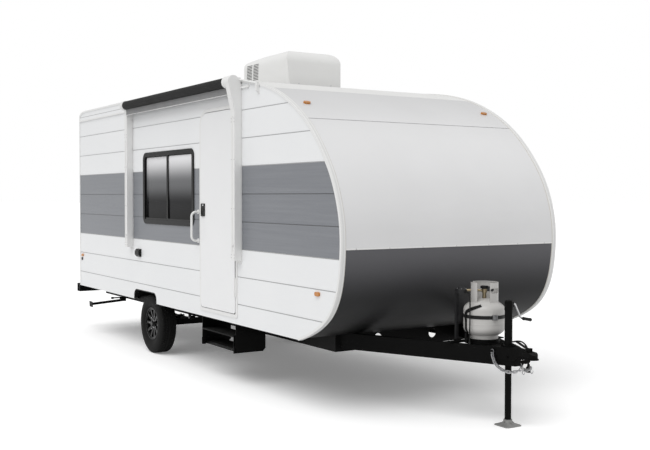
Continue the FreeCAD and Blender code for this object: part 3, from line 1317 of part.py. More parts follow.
def gas_tray():
    """Round tray with a ring for the foot, on a bearer between the rails, with a plate for the post."""
    base = rod((0, BOTTLE_Y, FRAME_TOP_Z), (0, BOTTLE_Y, BOTTLE_Z), TRAY_RADIUS)
    ring = BOTTLE_FOOT_RADIUS - BOTTLE_FOOT_WALL - FACE_GAP
    lip = rod((0, BOTTLE_Y, FRAME_TOP_Z), (0, BOTTLE_Y, FRAME_TOP_Z + TRAY_LIP), ring)
    lip = lip.cut(rod((0, BOTTLE_Y, FRAME_TOP_Z - OVERRUN), (0, BOTTLE_Y, FRAME_TOP_Z + TRAY_LIP + OVERRUN),
                      ring - TRAY_THICK))
    reach = flank_x(BOTTLE_Y + TRAY_RADIUS, 0)
    bearer = block((-reach, reach), (BOTTLE_Y + TRAY_RADIUS / 2, BOTTLE_Y + TRAY_RADIUS),
                   (FRAME_TOP_Z, BOTTLE_Z))
    post_base = block((POST_X - POST_SIZE, POST_X + POST_SIZE),
                      (BOTTLE_Y + TRAY_RADIUS / 2, POST_Y + POST_SIZE),
                      (FRAME_TOP_Z, BOTTLE_Z))
    return fuse_all([base, lip, bearer, post_base])


def dome_profile(radius, knuckle, height, crown_z, side):
    """Crown arc and knuckle arc from the axis to the barrel; side is 1 for the top and -1 for the foot."""
    reach = radius - knuckle
    crown = (reach * reach + height * height - knuckle * knuckle) / (2 * (height - knuckle))
    centre_z = crown_z - side * crown
    knuckle_z = crown_z - side * height
    lean = math.atan2(reach, crown - height)

    def at(r, z):
        return vec(r, BOTTLE_Y, z)

    def crown_at(angle):
        return at(crown * math.sin(angle), centre_z + side * crown * math.cos(angle))

    def knuckle_at(angle):
        return at(reach + knuckle * math.sin(angle), knuckle_z + side * knuckle * math.cos(angle))
    quarter = math.pi / 2
    return [Part.Arc(crown_at(0), crown_at(lean / 2), crown_at(lean)).toShape(),
            Part.Arc(knuckle_at(lean), knuckle_at((lean + quarter) / 2), knuckle_at(quarter)).toShape()]


def gas_bottle():
    """Welded steel bottle: foot ring, barrel and two dished ends."""
    foot_z = BOTTLE_Z + BOTTLE_FOOT_HEIGHT
    edges = dome_profile(BOTTLE_RADIUS, BOTTLE_KNUCKLE, BOTTLE_DOME, BOTTLE_TOP_Z, 1)
    edges += dome_profile(BOTTLE_RADIUS, BOTTLE_KNUCKLE, BOTTLE_DOME, foot_z, -1)
    edges.append(Part.LineSegment(vec(BOTTLE_RADIUS, BOTTLE_Y, BOTTLE_TOP_Z - BOTTLE_DOME),
                                  vec(BOTTLE_RADIUS, BOTTLE_Y, foot_z + BOTTLE_DOME)).toShape())
    edges.append(Part.LineSegment(vec(0, BOTTLE_Y, foot_z), vec(0, BOTTLE_Y, BOTTLE_TOP_Z)).toShape())
    body = Part.Face(Part.Wire(Part.__sortEdges__(edges))).revolve(vec(0, BOTTLE_Y, 0), UP, 360)
    ring = rod((0, BOTTLE_Y, BOTTLE_Z), (0, BOTTLE_Y, foot_z + BOTTLE_DOME / 2), BOTTLE_FOOT_RADIUS)
    ring = ring.cut(rod((0, BOTTLE_Y, BOTTLE_Z - OVERRUN), (0, BOTTLE_Y, foot_z + BOTTLE_DOME),
                        BOTTLE_FOOT_RADIUS - BOTTLE_FOOT_WALL))
    return fuse_all([body, ring])


def plan_direction(degrees):
    """Direction in plan, turned from straight ahead toward the far side."""
    turn = math.radians(degrees)
    return vec(math.sin(turn), -math.cos(turn), 0)


def gas_collar():
    """Rolled guard round the valve with two gaps and two hand holes."""
    z0 = BOTTLE_TOP_Z - BOTTLE_DOME / 2
    z1 = z0 + BOTTLE_COLLAR_HEIGHT
    radius = BOTTLE_COLLAR_RADIUS

    def shell(low, high, wall):
        ring = rod((0, BOTTLE_Y, low), (0, BOTTLE_Y, high), radius)
        return ring.cut(rod((0, BOTTLE_Y, low - OVERRUN), (0, BOTTLE_Y, high + OVERRUN), radius - wall))
    collar = fuse_all([shell(z0, z1, BOTTLE_COLLAR_WALL), shell(z1 - COLLAR_RIM, z1, COLLAR_RIM)])
    centre = vec(0, BOTTLE_Y, z0 - OVERRUN)
    cuts = []
    for middle, width in COLLAR_GAPS:
        reach = radius / math.cos(math.radians(width / 2)) + OVERRUN
        ends = [centre + plan_direction(middle + side * width / 2) * reach for side in (-1, 1)]
        wedge = Part.Face(Part.makePolygon([centre, ends[0], ends[1], centre]))
        cuts.append(wedge.extrude(vec(0, 0, BOTTLE_COLLAR_HEIGHT + 2 * OVERRUN)))
    top = z1 - COLLAR_HOLE_DROP
    for turn in COLLAR_HOLES:
        hole = rounded_block((0, radius + OVERRUN), (-COLLAR_HOLE_WIDTH / 2, COLLAR_HOLE_WIDTH / 2),
                             (top - COLLAR_HOLE_HEIGHT, top), COLLAR_HOLE_RADIUS, COLLAR_HOLE_RADIUS)
        hole.rotate(vec(0, 0, 0), UP, turn - 90)
        hole.translate(vec(0, BOTTLE_Y, 0))
        cuts.append(hole)
    return collar.cut(fuse_all(cuts))


def gas_strap():
    """Band round the barrel with its buckle at the front."""
    outer = rod((0, BOTTLE_Y, STRAP_Z), (0, BOTTLE_Y, STRAP_Z + STRAP_HEIGHT), BOTTLE_RADIUS + STRAP_THICK)
    inner = rod((0, BOTTLE_Y, STRAP_Z - OVERRUN), (0, BOTTLE_Y, STRAP_Z + STRAP_HEIGHT + OVERRUN),
                BOTTLE_RADIUS)
    middle = STRAP_Z + STRAP_HEIGHT / 2
    front = -BOTTLE_RADIUS - STRAP_THICK
    buckle = block((-BUCKLE_SIZE / 2, BUCKLE_SIZE / 2), (front - BUCKLE_THICK, front + BUCKLE_THICK),
                   (middle - BUCKLE_SIZE / 2, middle + BUCKLE_SIZE / 2))
    buckle.rotate(vec(0, 0, 0), UP, BUCKLE_TURN)
    buckle.translate(vec(0, BOTTLE_Y, 0))
    return fuse_all([outer, buckle]).cut(inner)


def gas_valve():
    """Valve body with its fluted hand wheel and the outlet pipe to the regulator."""
    z0 = BOTTLE_TOP_Z
    z1 = z0 + VALVE_HEIGHT
    stem = rod((0, BOTTLE_Y, z0), (0, BOTTLE_Y, z1), VALVE_RADIUS)
    wheel = rod((0, BOTTLE_Y, z1 - VALVE_WHEEL_HEIGHT), (0, BOTTLE_Y, z1), VALVE_WHEEL_RADIUS)
    flutes = []
    for i in range(VALVE_FLUTES):
        at = plan_direction(360 * i / VALVE_FLUTES) * VALVE_WHEEL_RADIUS + vec(0, BOTTLE_Y, 0)
        flutes.append(rod((at.x, at.y, z0), (at.x, at.y, z1 + OVERRUN), VALVE_FLUTE_RADIUS))
    wheel = wheel.cut(fuse_all(flutes))
    outlet_z = z0 + VALVE_HEIGHT * OUTLET_SHARE
    body = rod((0, BOTTLE_Y, outlet_z - VALVE_RADIUS), (0, BOTTLE_Y, outlet_z + VALVE_RADIUS),
               VALVE_BODY_RADIUS)
    end = (REGULATOR_X, REGULATOR_Y, outlet_z)
    outlet = rod((0, BOTTLE_Y, outlet_z), end, VALVE_OUTLET_RADIUS)
    return fuse_all([stem, wheel, body, outlet]).cut(regulator_body())


def regulator_body():
    """Round pressed case: flat drum below, tapered cover above."""
    centre = (REGULATOR_X, REGULATOR_Y)
    seam = REGULATOR_Z + REGULATOR_HEIGHT * REGULATOR_SEAM_SHARE
    low = rod(centre + (REGULATOR_Z,), centre + (seam,), REGULATOR_RADIUS)
    high = Part.makeCone(REGULATOR_RADIUS, REGULATOR_TOP_RADIUS, REGULATOR_Z + REGULATOR_HEIGHT - seam,
                         vec(*centre, seam))
    return fuse_all([low, high])


def gas_regulator():
    """Regulator on its post behind the bottle."""
    half = POST_SIZE / 2
    middle = REGULATOR_Z + REGULATOR_HEIGHT / 2
    post = block((POST_X - half, POST_X + half), (POST_Y - half, POST_Y + half), (BOTTLE_Z, middle))
    arm = block((POST_X - half, POST_X + half), (REGULATOR_Y, POST_Y), (REGULATOR_Z, middle))
    return fuse_all([regulator_body(), post, arm])


# Cords and what is on them


def over_frame(*points):
    """The points with their heights, given as rises over the frame's top, turned into places."""
    return [(x, y, FRAME_TOP_Z + rise) for x, y, rise in points]


# Chosen by hand: forward out of its clip, over the off side of the tongue, down to the plug
TOW_CABLE_ROUTE = over_frame(
    (72, -520, 25), (72, -556, 25), (76, -595, 37), (86, -636, 38), (98, -668, 15),
    (106, -681, -26), (110, -682, -74), (110, -682, -121),
)

# Chosen by hand: out of the regulator, down the near side of the bottle, into the tongue rail
GAS_HOSE_ROUTE = over_frame(
    (-128, -256, 380), (-128, -286, 380), (-138, -317, 368), (-153, -341, 337), (-165, -355, 293),
    (-170, -360, 237), (-171, -361, 175), (-170, -359, 117), (-167, -354, 66), (-167, -354, 16),
)


def tow_plug():
    """Round seven-way plug: sleeve, shoulder and barrel, pointing down."""
    profile = [(along * PLUG_LENGTH, radius * PLUG_RADIUS) for along, radius in PLUG_SHARES]
    return revolved([(0, 0)] + profile + [(profile[-1][0], 0)], TOW_CABLE_ROUTE[-1], (0, 0, -1))


def cable_gland():
    """Clip on the coupler's top with a tapered sleeve that points forward."""
    x, y, z = TOW_CABLE_ROUTE[0]
    half = GLAND_WIDTH / 2
    clip = block((x - half, x + half), (y + half, y + half + GLAND_DEPTH), (COUPLER_TOP_Z, z + half))
    sleeve = Part.makeCone(GLAND_REAR_RADIUS, GLAND_FRONT_RADIUS, half, vec(x, y + half, z), vec(0, -1, 0))
    return fuse_all([clip, sleeve])


def hose_union():
    """Brass union where the gas hose enters the tongue rail."""
    x, y, z = GAS_HOSE_ROUTE[-1]
    return rod((x, y, FRAME_TOP_Z), (x, y, z), UNION_RADIUS)


# Safety chains

def chain_link():
    """One link lying along X, of square wire, its round ends made of short straight sides."""
    inner = LINK_INNER_WIDTH / 2
    straight = LINK_INNER_LENGTH / 2 - inner

    def loop(radius):
        points = []
        for side in (1, -1):
            for i in range(LINK_END_SIDES + 1):
                turn = math.pi * i / LINK_END_SIDES - math.pi / 2
                points.append((side * (straight + radius * math.cos(turn)), side * radius * math.sin(turn)))
        return prism(points, ("z", LINK_WIRE), -LINK_WIRE / 2)
    return loop(inner + LINK_WIRE).cut(loop(inner))


# Chosen by hand: from the pin on the coupler's outer face down and forward below it
CHAIN_ROUTE = over_frame(
    (-118, -548, -20), (-118, -553, -65), (-113, -577, -115), (-98, -622, -151), (-74, -680, -163),
    (-52, -738, -151), (-40, -776, -123),
)


def safety_chain():
    points = [vec(*p) for p in CHAIN_ROUTE]
    curve = Part.BSplineCurve()
    curve.interpolate(points)
    total = curve.length()
    pitch = LINK_INNER_LENGTH - LINK_SLACK
    count = int(total / pitch)
    links = []
    template = chain_link()
    across = ACROSS
    for i in range(count):
        first = curve.value(curve.parameterAtDistance(pitch * i, curve.FirstParameter))
        last = curve.value(curve.parameterAtDistance(pitch * (i + 1), curve.FirstParameter))
        along = last - first
        along.normalize()
        side = along.cross(across)
        side.normalize()
        across = side.cross(along)
        normal = across
        if i % 2 == 1:
            side, normal = across, -side
        turn = FreeCAD.Rotation(along, side, normal, "XZY")
        link = template.copy()
        link.Placement = FreeCAD.Placement((first + last) * 0.5, turn)
        links.append(link)
    return group(links)


# Wheels, axle and springs

def tyre():
    """Section with a flat tread, round shoulders and a sunken bead, carried round in short flats."""
    half = TYRE_WIDTH / 2
    bead = BEAD_RADIUS / math.cos(math.pi / TYRE_FLATS)
    right = [(half * across, bead + (TYRE_RADIUS - bead) * out) for across, out in TYRE_SHARES]
    profile = right + [(-across, radius) for across, radius in reversed(right)]
    count = len(profile)

    def at(step, place):
        across, radius = profile[place % count]
        turn = 2 * math.pi * step / TYRE_FLATS
        return vec(*WHEEL_CENTRE) + vec(across, radius * math.sin(turn), -radius * math.cos(turn))
    faces = []
    for step in range(TYRE_FLATS):
        for place in range(count):
            quad = [at(step, place), at(step + 1, place), at(step + 1, place + 1), at(step, place + 1)]
            faces.append(Part.Face(Part.makePolygon(quad + [quad[0]])))
    solid = Part.Solid(Part.Shell(faces))
    if solid.Volume < 0:
        solid.reverse()
    return solid


def rim():
    """Barrel and dished, slotted disc; the disc is near the outer face."""
    half = RIM_WIDTH / 2
    outer, inner = BEAD_RADIUS, BEAD_RADIUS - RIM_WALL
    drop = BEAD_RADIUS - RIM_DROP
    face = -half + RIM_FACE_INSET
    back = face + RIM_FACE_THICK
    profile = [(-half, inner), (-half, outer), (half, outer), (half, inner), (half / 2, drop - RIM_WALL),
               (back, drop - RIM_WALL), (back, 0), (face, 0), (face, HUB_RADIUS),
               (face - RIM_DISH, inner - RIM_DISH),
               (face - RIM_DISH, inner)]
    wheel = revolved(profile, WHEEL_CENTRE, (1, 0, 0))
    half_in = (SPOKE_WINDOW_WIDTH - SPOKE_WINDOW_TAPER) / 2
    half_out = (SPOKE_WINDOW_WIDTH + SPOKE_WINDOW_TAPER) / 2
    z_in, z_out = TYRE_RADIUS + SPOKE_WINDOW_IN, TYRE_RADIUS + SPOKE_WINDOW_OUT
    outline = [(AXLE_Y - half_in, z_in), (AXLE_Y + half_in, z_in), (AXLE_Y + half_out, z_out),
               (AXLE_Y - half_out, z_out)]
    windows = []
    for i in range(SPOKE_COUNT):
        window = prism(outline, ("x", OVERRUN * 2 + RIM_FACE_THICK), RIM_FACE_X - OVERRUN)
        window.rotate(vec(*WHEEL_CENTRE), ACROSS, 360 * i / SPOKE_COUNT)
        windows.append(window)
    return wheel.cut(group(windows))


def hub():
    """Brake drum and hub behind the wheel's disc, and the cap that shows outside."""
    inside = RIM_FACE_X + RIM_FACE_THICK
    drum = rod((inside, AXLE_Y, TYRE_RADIUS), (inside + DRUM_LENGTH, AXLE_Y, TYRE_RADIUS), DRUM_RADIUS)
    bore = rod((inside + RIM_WALL, AXLE_Y, TYRE_RADIUS),
               (inside + DRUM_LENGTH + OVERRUN, AXLE_Y, TYRE_RADIUS),
               SPINDLE_RADIUS + SPINDLE_GAP)
    return drum.cut(bore)


def hub_cap():
    """Raised boss and its tapered cap."""
    start = (RIM_FACE_X, AXLE_Y, TYRE_RADIUS)
    base = rod(start, (RIM_FACE_X - RIM_WALL, AXLE_Y, TYRE_RADIUS), HUB_RADIUS)
    cap = Part.makeCone(HUB_CAP_RADIUS, HUB_CAP_RADIUS * HUB_CAP_SHARE, HUB_CAP_LENGTH, vec(*start),
                        vec(-1, 0, 0))
    return fuse_all([base, cap])


def axle_beam():
    """Square beam with spindles, brake back plates, spring seats, clamp plates and bolts."""
    plate_x = DRUM_END_X + DRUM_GAP
    half = AXLE_TUBE / 2
    beam = block((plate_x, -plate_x), (AXLE_Y - half, AXLE_Y + half),
                 (TYRE_RADIUS - half, TYRE_RADIUS + half))
    pieces = [beam]
    for side in (-1, 1):
        x = -plate_x * side
        pieces.append(rod((x, AXLE_Y, TYRE_RADIUS), (x - side * BACKPLATE_THICK, AXLE_Y, TYRE_RADIUS),
                          DRUM_RADIUS))
        tip = side * (-RIM_FACE_X - RIM_FACE_THICK - RIM_WALL - DRUM_GAP)
        pieces.append(rod((x, AXLE_Y, TYRE_RADIUS), (tip, AXLE_Y, TYRE_RADIUS), SPINDLE_RADIUS))
        pieces += spring_clamp(side)
    return fuse_all(pieces)


def spring_clamp(side):
    """Seat under the leaves, plate over them and four bolts that tie both to the beam."""
    middle = side * SPRING_X
    bolt_x = SPRING_WIDTH / 2 + FACE_GAP + U_BOLT_RADIUS
    bolt_y = (AXLE_TUBE + U_BOLT_RADIUS) / 2
    reach_x, reach_y = bolt_x + 2 * U_BOLT_RADIUS, bolt_y + 2 * U_BOLT_RADIUS
    top = SPRING_Z + stack_height() + 2 * FACE_GAP
    span_x, span_y = (middle - reach_x, middle + reach_x), (AXLE_Y - reach_y, AXLE_Y + reach_y)
    pieces = [block(span_x, span_y, (TYRE_RADIUS + AXLE_TUBE / 2, SPRING_Z - FACE_GAP)),
              block(span_x, span_y, (top, top + SEAT_PLATE))]
    for x in (middle - bolt_x, middle + bolt_x):
        for y in (AXLE_Y - bolt_y, AXLE_Y + bolt_y):
            pieces.append(rod((x, y, TYRE_RADIUS - AXLE_TUBE / 2), (x, y, top + 2 * SEAT_PLATE),
                              U_BOLT_RADIUS))
    return pieces


def stack_height():
    return SPRING_LEAF * len(SPRING_LEAF_SHARES)


def leaf_spring():
    """Pack of arched leaves, each shorter than the one above, with an eye at each end of the first."""
    half = SPRING_LENGTH / 2
    x0 = -SPRING_X - SPRING_WIDTH / 2
    top = SPRING_Z + stack_height()
    rise = SPRING_EYE_Z - (top - SPRING_LEAF / 2)
    bow = (half * half + rise * rise) / (2 * rise)
    centre_z = top - SPRING_LEAF / 2 + bow

    def at(radius, along):
        turn = math.asin(along / bow)
        return vec(x0, AXLE_Y + radius * math.sin(turn), centre_z - radius * math.cos(turn))
    pieces = []
    for i, share in enumerate(SPRING_LEAF_SHARES):
        reach = half * share
        near = bow - SPRING_LEAF / 2 + i * SPRING_LEAF
        far = near + SPRING_LEAF
        edges = [Part.Arc(at(near, -reach), at(near, 0), at(near, reach)).toShape(),
                 Part.LineSegment(at(near, reach), at(far, reach)).toShape(),
                 Part.Arc(at(far, reach), at(far, 0), at(far, -reach)).toShape(),
                 Part.LineSegment(at(far, -reach), at(near, -reach)).toShape()]
        pieces.append(Part.Face(Part.Wire(edges)).extrude(vec(SPRING_WIDTH, 0, 0)))
    for side in (-1, 1):
        y = AXLE_Y + side * half
        pieces.append(rod((x0, y, SPRING_EYE_Z), (x0 + SPRING_WIDTH, y, SPRING_EYE_Z), SPRING_EYE_RADIUS))
    return fuse_all(pieces)


def leaf_springs():
    spring = leaf_spring()
    return group([spring, mirrored(spring)])


def spring_hangers():
    """Folded plates from the rail down to each spring eye."""
    hangers = []
    low_x = -SPRING_X - SPRING_WIDTH / 2 - FACE_GAP - HANGER_SHEET
    high_x = -SPRING_X + SPRING_WIDTH / 2 + FACE_GAP + HANGER_SHEET
    foot = SPRING_EYE_Z - SPRING_EYE_RADIUS
    top = RAIL_BOTTOM_Z
    wide, narrow = HANGER_WIDTH / 2, SPRING_EYE_RADIUS
    for side in (-1, 1):
        y = AXLE_Y + side * SPRING_LENGTH / 2
        outline = [(y - narrow, foot), (y + narrow, foot), (y + wide, top), (y - wide, top)]
        cheeks = [prism(outline, ("x", HANGER_SHEET), x) for x in (low_x, high_x - HANGER_SHEET)]
        bridge = block((low_x, high_x), (y - wide, y + wide), (top - HANGER_SHEET, top))
        hangers.append(fuse_all(cheeks + [bridge]))
    return hangers + [mirrored(hanger) for hanger in hangers]


# Rear bumper

def rear_bumper():
    """Square tube across the tail with its end caps set in."""
    half = HALF_WIDTH - BUMPER_INSET
    y0 = BUMPER_REAR_Y - BUMPER_SIZE
    z0 = BUMPER_TOP_Z - BUMPER_SIZE
    wall = BUMPER_WALL
    tube = block((-half, half), (y0, BUMPER_REAR_Y), (z0, BUMPER_TOP_Z))
    ends = [block((side * (half + OVERRUN), side * (half - BUMPER_CAP_INSET)),
                  (y0 + wall, BUMPER_REAR_Y - wall),
                  (z0 + wall, BUMPER_TOP_Z - wall)) for side in (-1, 1)]
    return tube.cut(group(ends))


# Entry step

def step_frame():
    """Bracket under the floor that carries the sliding treads, its cheeks cut back at the foot."""
    y0, y1 = STEP_FRONT_Y - STEP_CLEAR - STEP_SHEET, STEP_REAR_Y + STEP_CLEAR + STEP_SHEET
    x_span = (-STEP_OUT_X + STEP_SHEET * 2, -STEP_IN_X + STEP_ARM)
    foot = STEP_TREAD_Z - STEP_TREAD_THICK
    cheek = [(x_span[0], FRAME_TOP_Z), (x_span[0], foot), (x_span[1] - STEP_CORNER, foot),
             (x_span[1], foot + STEP_CORNER), (x_span[1], FRAME_TOP_Z)]
    pieces = [prism(cheek, ("y", STEP_SHEET), y) for y in (y0, y1 - STEP_SHEET)]
    back = (x_span[1] - STEP_SHEET, x_span[1])
    pieces.append(block(back, (y0, y1), (FRAME_TOP_Z - STEP_ARM * 2, FRAME_TOP_Z)))
    for y in (y0, y1 - STEP_SHEET):
        pieces.append(block((back[0], -RAIL_FACE_X), (y, y + STEP_SHEET),
                            (FRAME_TOP_Z - STEP_ARM, FRAME_TOP_Z)))
    wall_foot = block((-BODY_WIDTH, -INNER_X + FACE_GAP), (y0 - OVERRUN, y1 + OVERRUN),
                      (SKIRT_Z - FACE_GAP, FRAME_TOP_Z + OVERRUN))
    return fuse_all(pieces).cut(wall_foot)


def step_carriage():
    """Upper tread with its side plates, which slides out."""
    x0, x1 = -STEP_OUT_X, -STEP_OUT_X + STEP_TREAD_DEPTH
    tread = block((x0 + STEP_ARM + 2 * STEP_CLEAR, x1), (STEP_FRONT_Y, STEP_REAR_Y),
                  (STEP_TREAD_Z - STEP_TREAD_THICK, STEP_TREAD_Z))
    sides = [block((x0, x1), (y, y + STEP_SHEET), (STEP_TREAD_Z - STEP_TREAD_THICK, STEP_TREAD_Z + STEP_ARM))
             for y in (STEP_FRONT_Y, STEP_REAR_Y - STEP_SHEET)]
    pins = [rod((STEP_PIVOT_X, y, STEP_PIVOT_Z), (STEP_PIVOT_X, y + STEP_ARM * side, STEP_PIVOT_Z),
                STEP_PIN_RADIUS)
            for y, side in ((STEP_FRONT_Y, 1), (STEP_REAR_Y, -1))]
    reach = STEP_CLEAR - FACE_GAP
    runners = [block((x1 - STEP_ARM * 2, x1), (y, y + reach * side),
                     (STEP_TREAD_Z - STEP_TREAD_THICK, STEP_TREAD_Z))
               for y, side in ((STEP_FRONT_Y, -1), (STEP_REAR_Y, 1))]
    return fuse_all([tread] + sides + pins + runners)


def step_tread():
    """Lower tread, folded over the upper one on two arms."""
    y0, y1 = STEP_FRONT_Y + STEP_SHEET * 2, STEP_REAR_Y - STEP_SHEET * 2
    top = STEP_TREAD_Z + STEP_FOLD_RISE
    x0 = STEP_PIVOT_X - STEP_ARM / 2
    tread = block((x0, x0 + STEP_FOLD_DEPTH), (y0, y1), (top, top + STEP_TREAD_THICK / 2))
    pieces = [tread]
    for y in (y0, y1 - STEP_SHEET):
        pieces.append(block((x0, x0 + STEP_ARM), (y, y + STEP_SHEET), (STEP_PIVOT_Z - STEP_ARM / 2, top)))
        pieces.append(block((x0, x0 + STEP_FOLD_DEPTH), (y, y + STEP_SHEET), (top - STEP_ARM, top)))
    tread = fuse_all(pieces)
    hole = rod((STEP_PIVOT_X, y0 - OVERRUN, STEP_PIVOT_Z), (STEP_PIVOT_X, y1 + OVERRUN, STEP_PIVOT_Z),
               STEP_PIN_RADIUS + FACE_GAP)
    return tread.cut(hole)


# Rear stabilisers

def stab_bracket():
    """Ears under the rail that hold the leg's pin, and the drive screw above the folded leg."""
    half = STAB_LEG_WIDTH / 2 + FACE_GAP
    x0, x1 = -STAB_PIVOT_X - STAB_BRACKET / 2, -STAB_PIVOT_X + STAB_BRACKET / 2
    top = RAIL_BOTTOM_Z
    ears = [block((x0, x1), (STAB_Y + side * half, STAB_Y + side * (half + STAB_SHEET)),
                  (STAB_PIVOT_Z - STAB_LEG_DEPTH / 2, top)) for side in (-1, 1)]
    roof_plate = block((x0, x1), (STAB_Y - half - STAB_SHEET, STAB_Y + half + STAB_SHEET),
                       (top - STAB_SHEET, top))
    pin = rod((-STAB_PIVOT_X, STAB_Y - half - STAB_SHEET, STAB_PIVOT_Z),
              (-STAB_PIVOT_X, STAB_Y + half + STAB_SHEET, STAB_PIVOT_Z), STAB_PIN_RADIUS)
    return fuse_all(ears + [roof_plate, pin] + stab_screw())


def stab_screw():
    """Drive screw with its hexagon head, above the folded leg."""
    start = -RAIL_FACE_X - FACE_GAP
    end = start - STAB_SCREW_LENGTH
    return [rod((start, STAB_Y, RAIL_BOTTOM_Z), (end, STAB_Y, RAIL_BOTTOM_Z), STAB_SCREW_RADIUS),
            rod((end, STAB_Y, RAIL_BOTTOM_Z), (end - STAB_NUT_LENGTH, STAB_Y, RAIL_BOTTOM_Z),
                STAB_NUT_RADIUS)]


def stab_brackets():
    bracket = stab_bracket()
    return [bracket, mirrored(bracket)]


def stab_leg():
    """Channel-section leg with its foot pad, folded up below the floor."""
    half_width, half_depth = STAB_LEG_WIDTH / 2, STAB_LEG_DEPTH / 2
    x_end = -STAB_PIVOT_X - STAB_LEG_LENGTH
    wall = STAB_LEG_WALL
    leg = block((x_end, -STAB_PIVOT_X + half_depth), (STAB_Y - half_width, STAB_Y + half_width),
                (STAB_PIVOT_Z - half_depth, STAB_PIVOT_Z + half_depth))
    trough = block((x_end + wall, -STAB_PIVOT_X - 2 * half_depth),
                   (STAB_Y - half_width + wall, STAB_Y + half_width - wall),
                   (STAB_PIVOT_Z - half_depth - OVERRUN, STAB_PIVOT_Z + half_depth - wall))
    foot = block((x_end - STAB_SHEET, x_end), (STAB_Y - STAB_FOOT_WIDTH / 2, STAB_Y + STAB_FOOT_WIDTH / 2),
                 (STAB_PIVOT_Z - STAB_FOOT_LENGTH / 2, STAB_PIVOT_Z + STAB_FOOT_LENGTH / 2))
    hole = rod((-STAB_PIVOT_X, STAB_Y - STAB_LEG_WIDTH, STAB_PIVOT_Z),
               (-STAB_PIVOT_X, STAB_Y + STAB_LEG_WIDTH, STAB_PIVOT_Z), STAB_PIN_RADIUS + FACE_GAP)
    whole = fuse_all([leg.cut(trough), foot]).cut(hole)
    whole.rotate(vec(-STAB_PIVOT_X, STAB_Y, STAB_PIVOT_Z), BACK, -STAB_STOW_ANGLE)
    return whole


# Air conditioner and roof vent

def ac_shroud(inset):
    """Moulded hood: side outline, end outline and plan, each with rounded corners, where all three meet."""
    y0, y1 = AC_FRONT_Y + inset, AC_FRONT_Y + AC_LENGTH - inset
    z0, z1 = ROOF_Z, ROOF_Z + AC_HEIGHT - inset
    half = AC_HALF_WIDTH - inset
    side = [(vec(-half, y0, z0), 0), (vec(-half, y0 + AC_FRONT_LEAN, z1), AC_FRONT_RADIUS - inset),
            (vec(-half, y1 - AC_LENGTH / 2, z1), 0),
            (vec(-half, y1, z1 - AC_REAR_DROP), AC_REAR_RADIUS - inset),
            (vec(-half, y1, z0), 0)]
    end = [(vec(-half, y0, z0), 0), (vec(half, y0, z0), 0),
           (vec(half - AC_SIDE_LEAN, y0, z1), AC_TOP_RADIUS - inset),
           (vec(-half + AC_SIDE_LEAN, y0, z1), AC_TOP_RADIUS - inset)]
    radius = AC_EDGE_RADIUS - inset
    plan = [(vec(-half, y0, z0), radius), (vec(half, y0, z0), radius), (vec(half, y1, z0), radius),
            (vec(-half, y1, z0), radius)]
    form = rounded_outline(side).extrude(vec(2 * half, 0, 0))
    form = form.common(rounded_outline(end).extrude(vec(0, y1 - y0, 0)))
    return form.common(rounded_outline(plan).extrude(vec(0, 0, AC_HEIGHT)))


def air_conditioner():
    """Hood with rows of slots near its tail, over the block of the unit inside it."""
    slots = []
    first_y = AC_FRONT_Y + AC_LENGTH - LOUVRE_FROM_REAR
    for column in range(LOUVRE_COLUMNS):
        y = first_y + column * LOUVRE_PITCH_Y
        for row in range(LOUVRE_ROWS):
            z = ROOF_Z + LOUVRE_FIRST_Z + row * LOUVRE_PITCH_Z
            for side in (-1, 1):
                slots.append(block((side * (AC_HALF_WIDTH + OVERRUN), side * (AC_HALF_WIDTH - LOUVRE_DEPTH)),
                                   (y, y + LOUVRE_WIDTH), (z, z + LOUVRE_HEIGHT)))
    return ac_shroud(0).cut(group(slots))


def roof_vent():
    """Raised rim round the hole in the roof."""
    half = VENT_SIZE / 2
    rim_block = block((-half, half), (VENT_Y - half, VENT_Y + half), (ROOF_Z - ROOF_THICK, ROOF_Z + VENT_RIM))
    hole = half - VENT_RIM_WALL
    return rim_block.cut(block((-hole, hole), (VENT_Y - hole, VENT_Y + hole),
                               (ROOF_Z - ROOF_THICK - OVERRUN, ROOF_Z + VENT_RIM + OVERRUN)))


def vent_outline(half, radius):
    corners = ((-half, -half), (half, -half), (half, half), (-half, half))
    return rounded_outline([(vec(x, VENT_Y + y, 0), radius) for x, y in corners])


def vent_lid():
    """Lid with a turned-down lip and a raised middle, on a hinge barrel along its rear edge."""
    half = VENT_SIZE / 2 + VENT_LID_GAP + VENT_LID_THICK
    z0 = ROOF_Z + VENT_RIM + FACE_GAP - VENT_LID_LIP
    lid = vent_outline(half, VENT_LID_RADIUS).extrude(vec(0, 0, VENT_LID_LIP + VENT_LID_THICK))
    inner = half - VENT_LID_THICK
    hollow = vent_outline(inner, VENT_LID_RADIUS - VENT_LID_THICK).extrude(vec(0, 0, VENT_LID_LIP))
    crown = vent_outline(half - VENT_LID_RADIUS, VENT_LID_RADIUS).extrude(vec(0, 0, VENT_CROWN))
    crown.translate(vec(0, 0, VENT_LID_LIP + VENT_LID_THICK))
    reach = half - VENT_LID_RADIUS
    barrel = rod((-reach, VENT_Y + half, 0), (reach, VENT_Y + half, 0), VENT_BARREL_RADIUS)
    lid = fuse_all([lid.cut(hollow), crown, barrel])
    lid.translate(vec(0, 0, z0))
    return lid


# Awning, folded against the wall


ARM_FACE_X = -HALF_WIDTH - GUTTER_PROUD - ARM_GAP
ARM_OUT_X = ARM_FACE_X - ARM_DEPTH


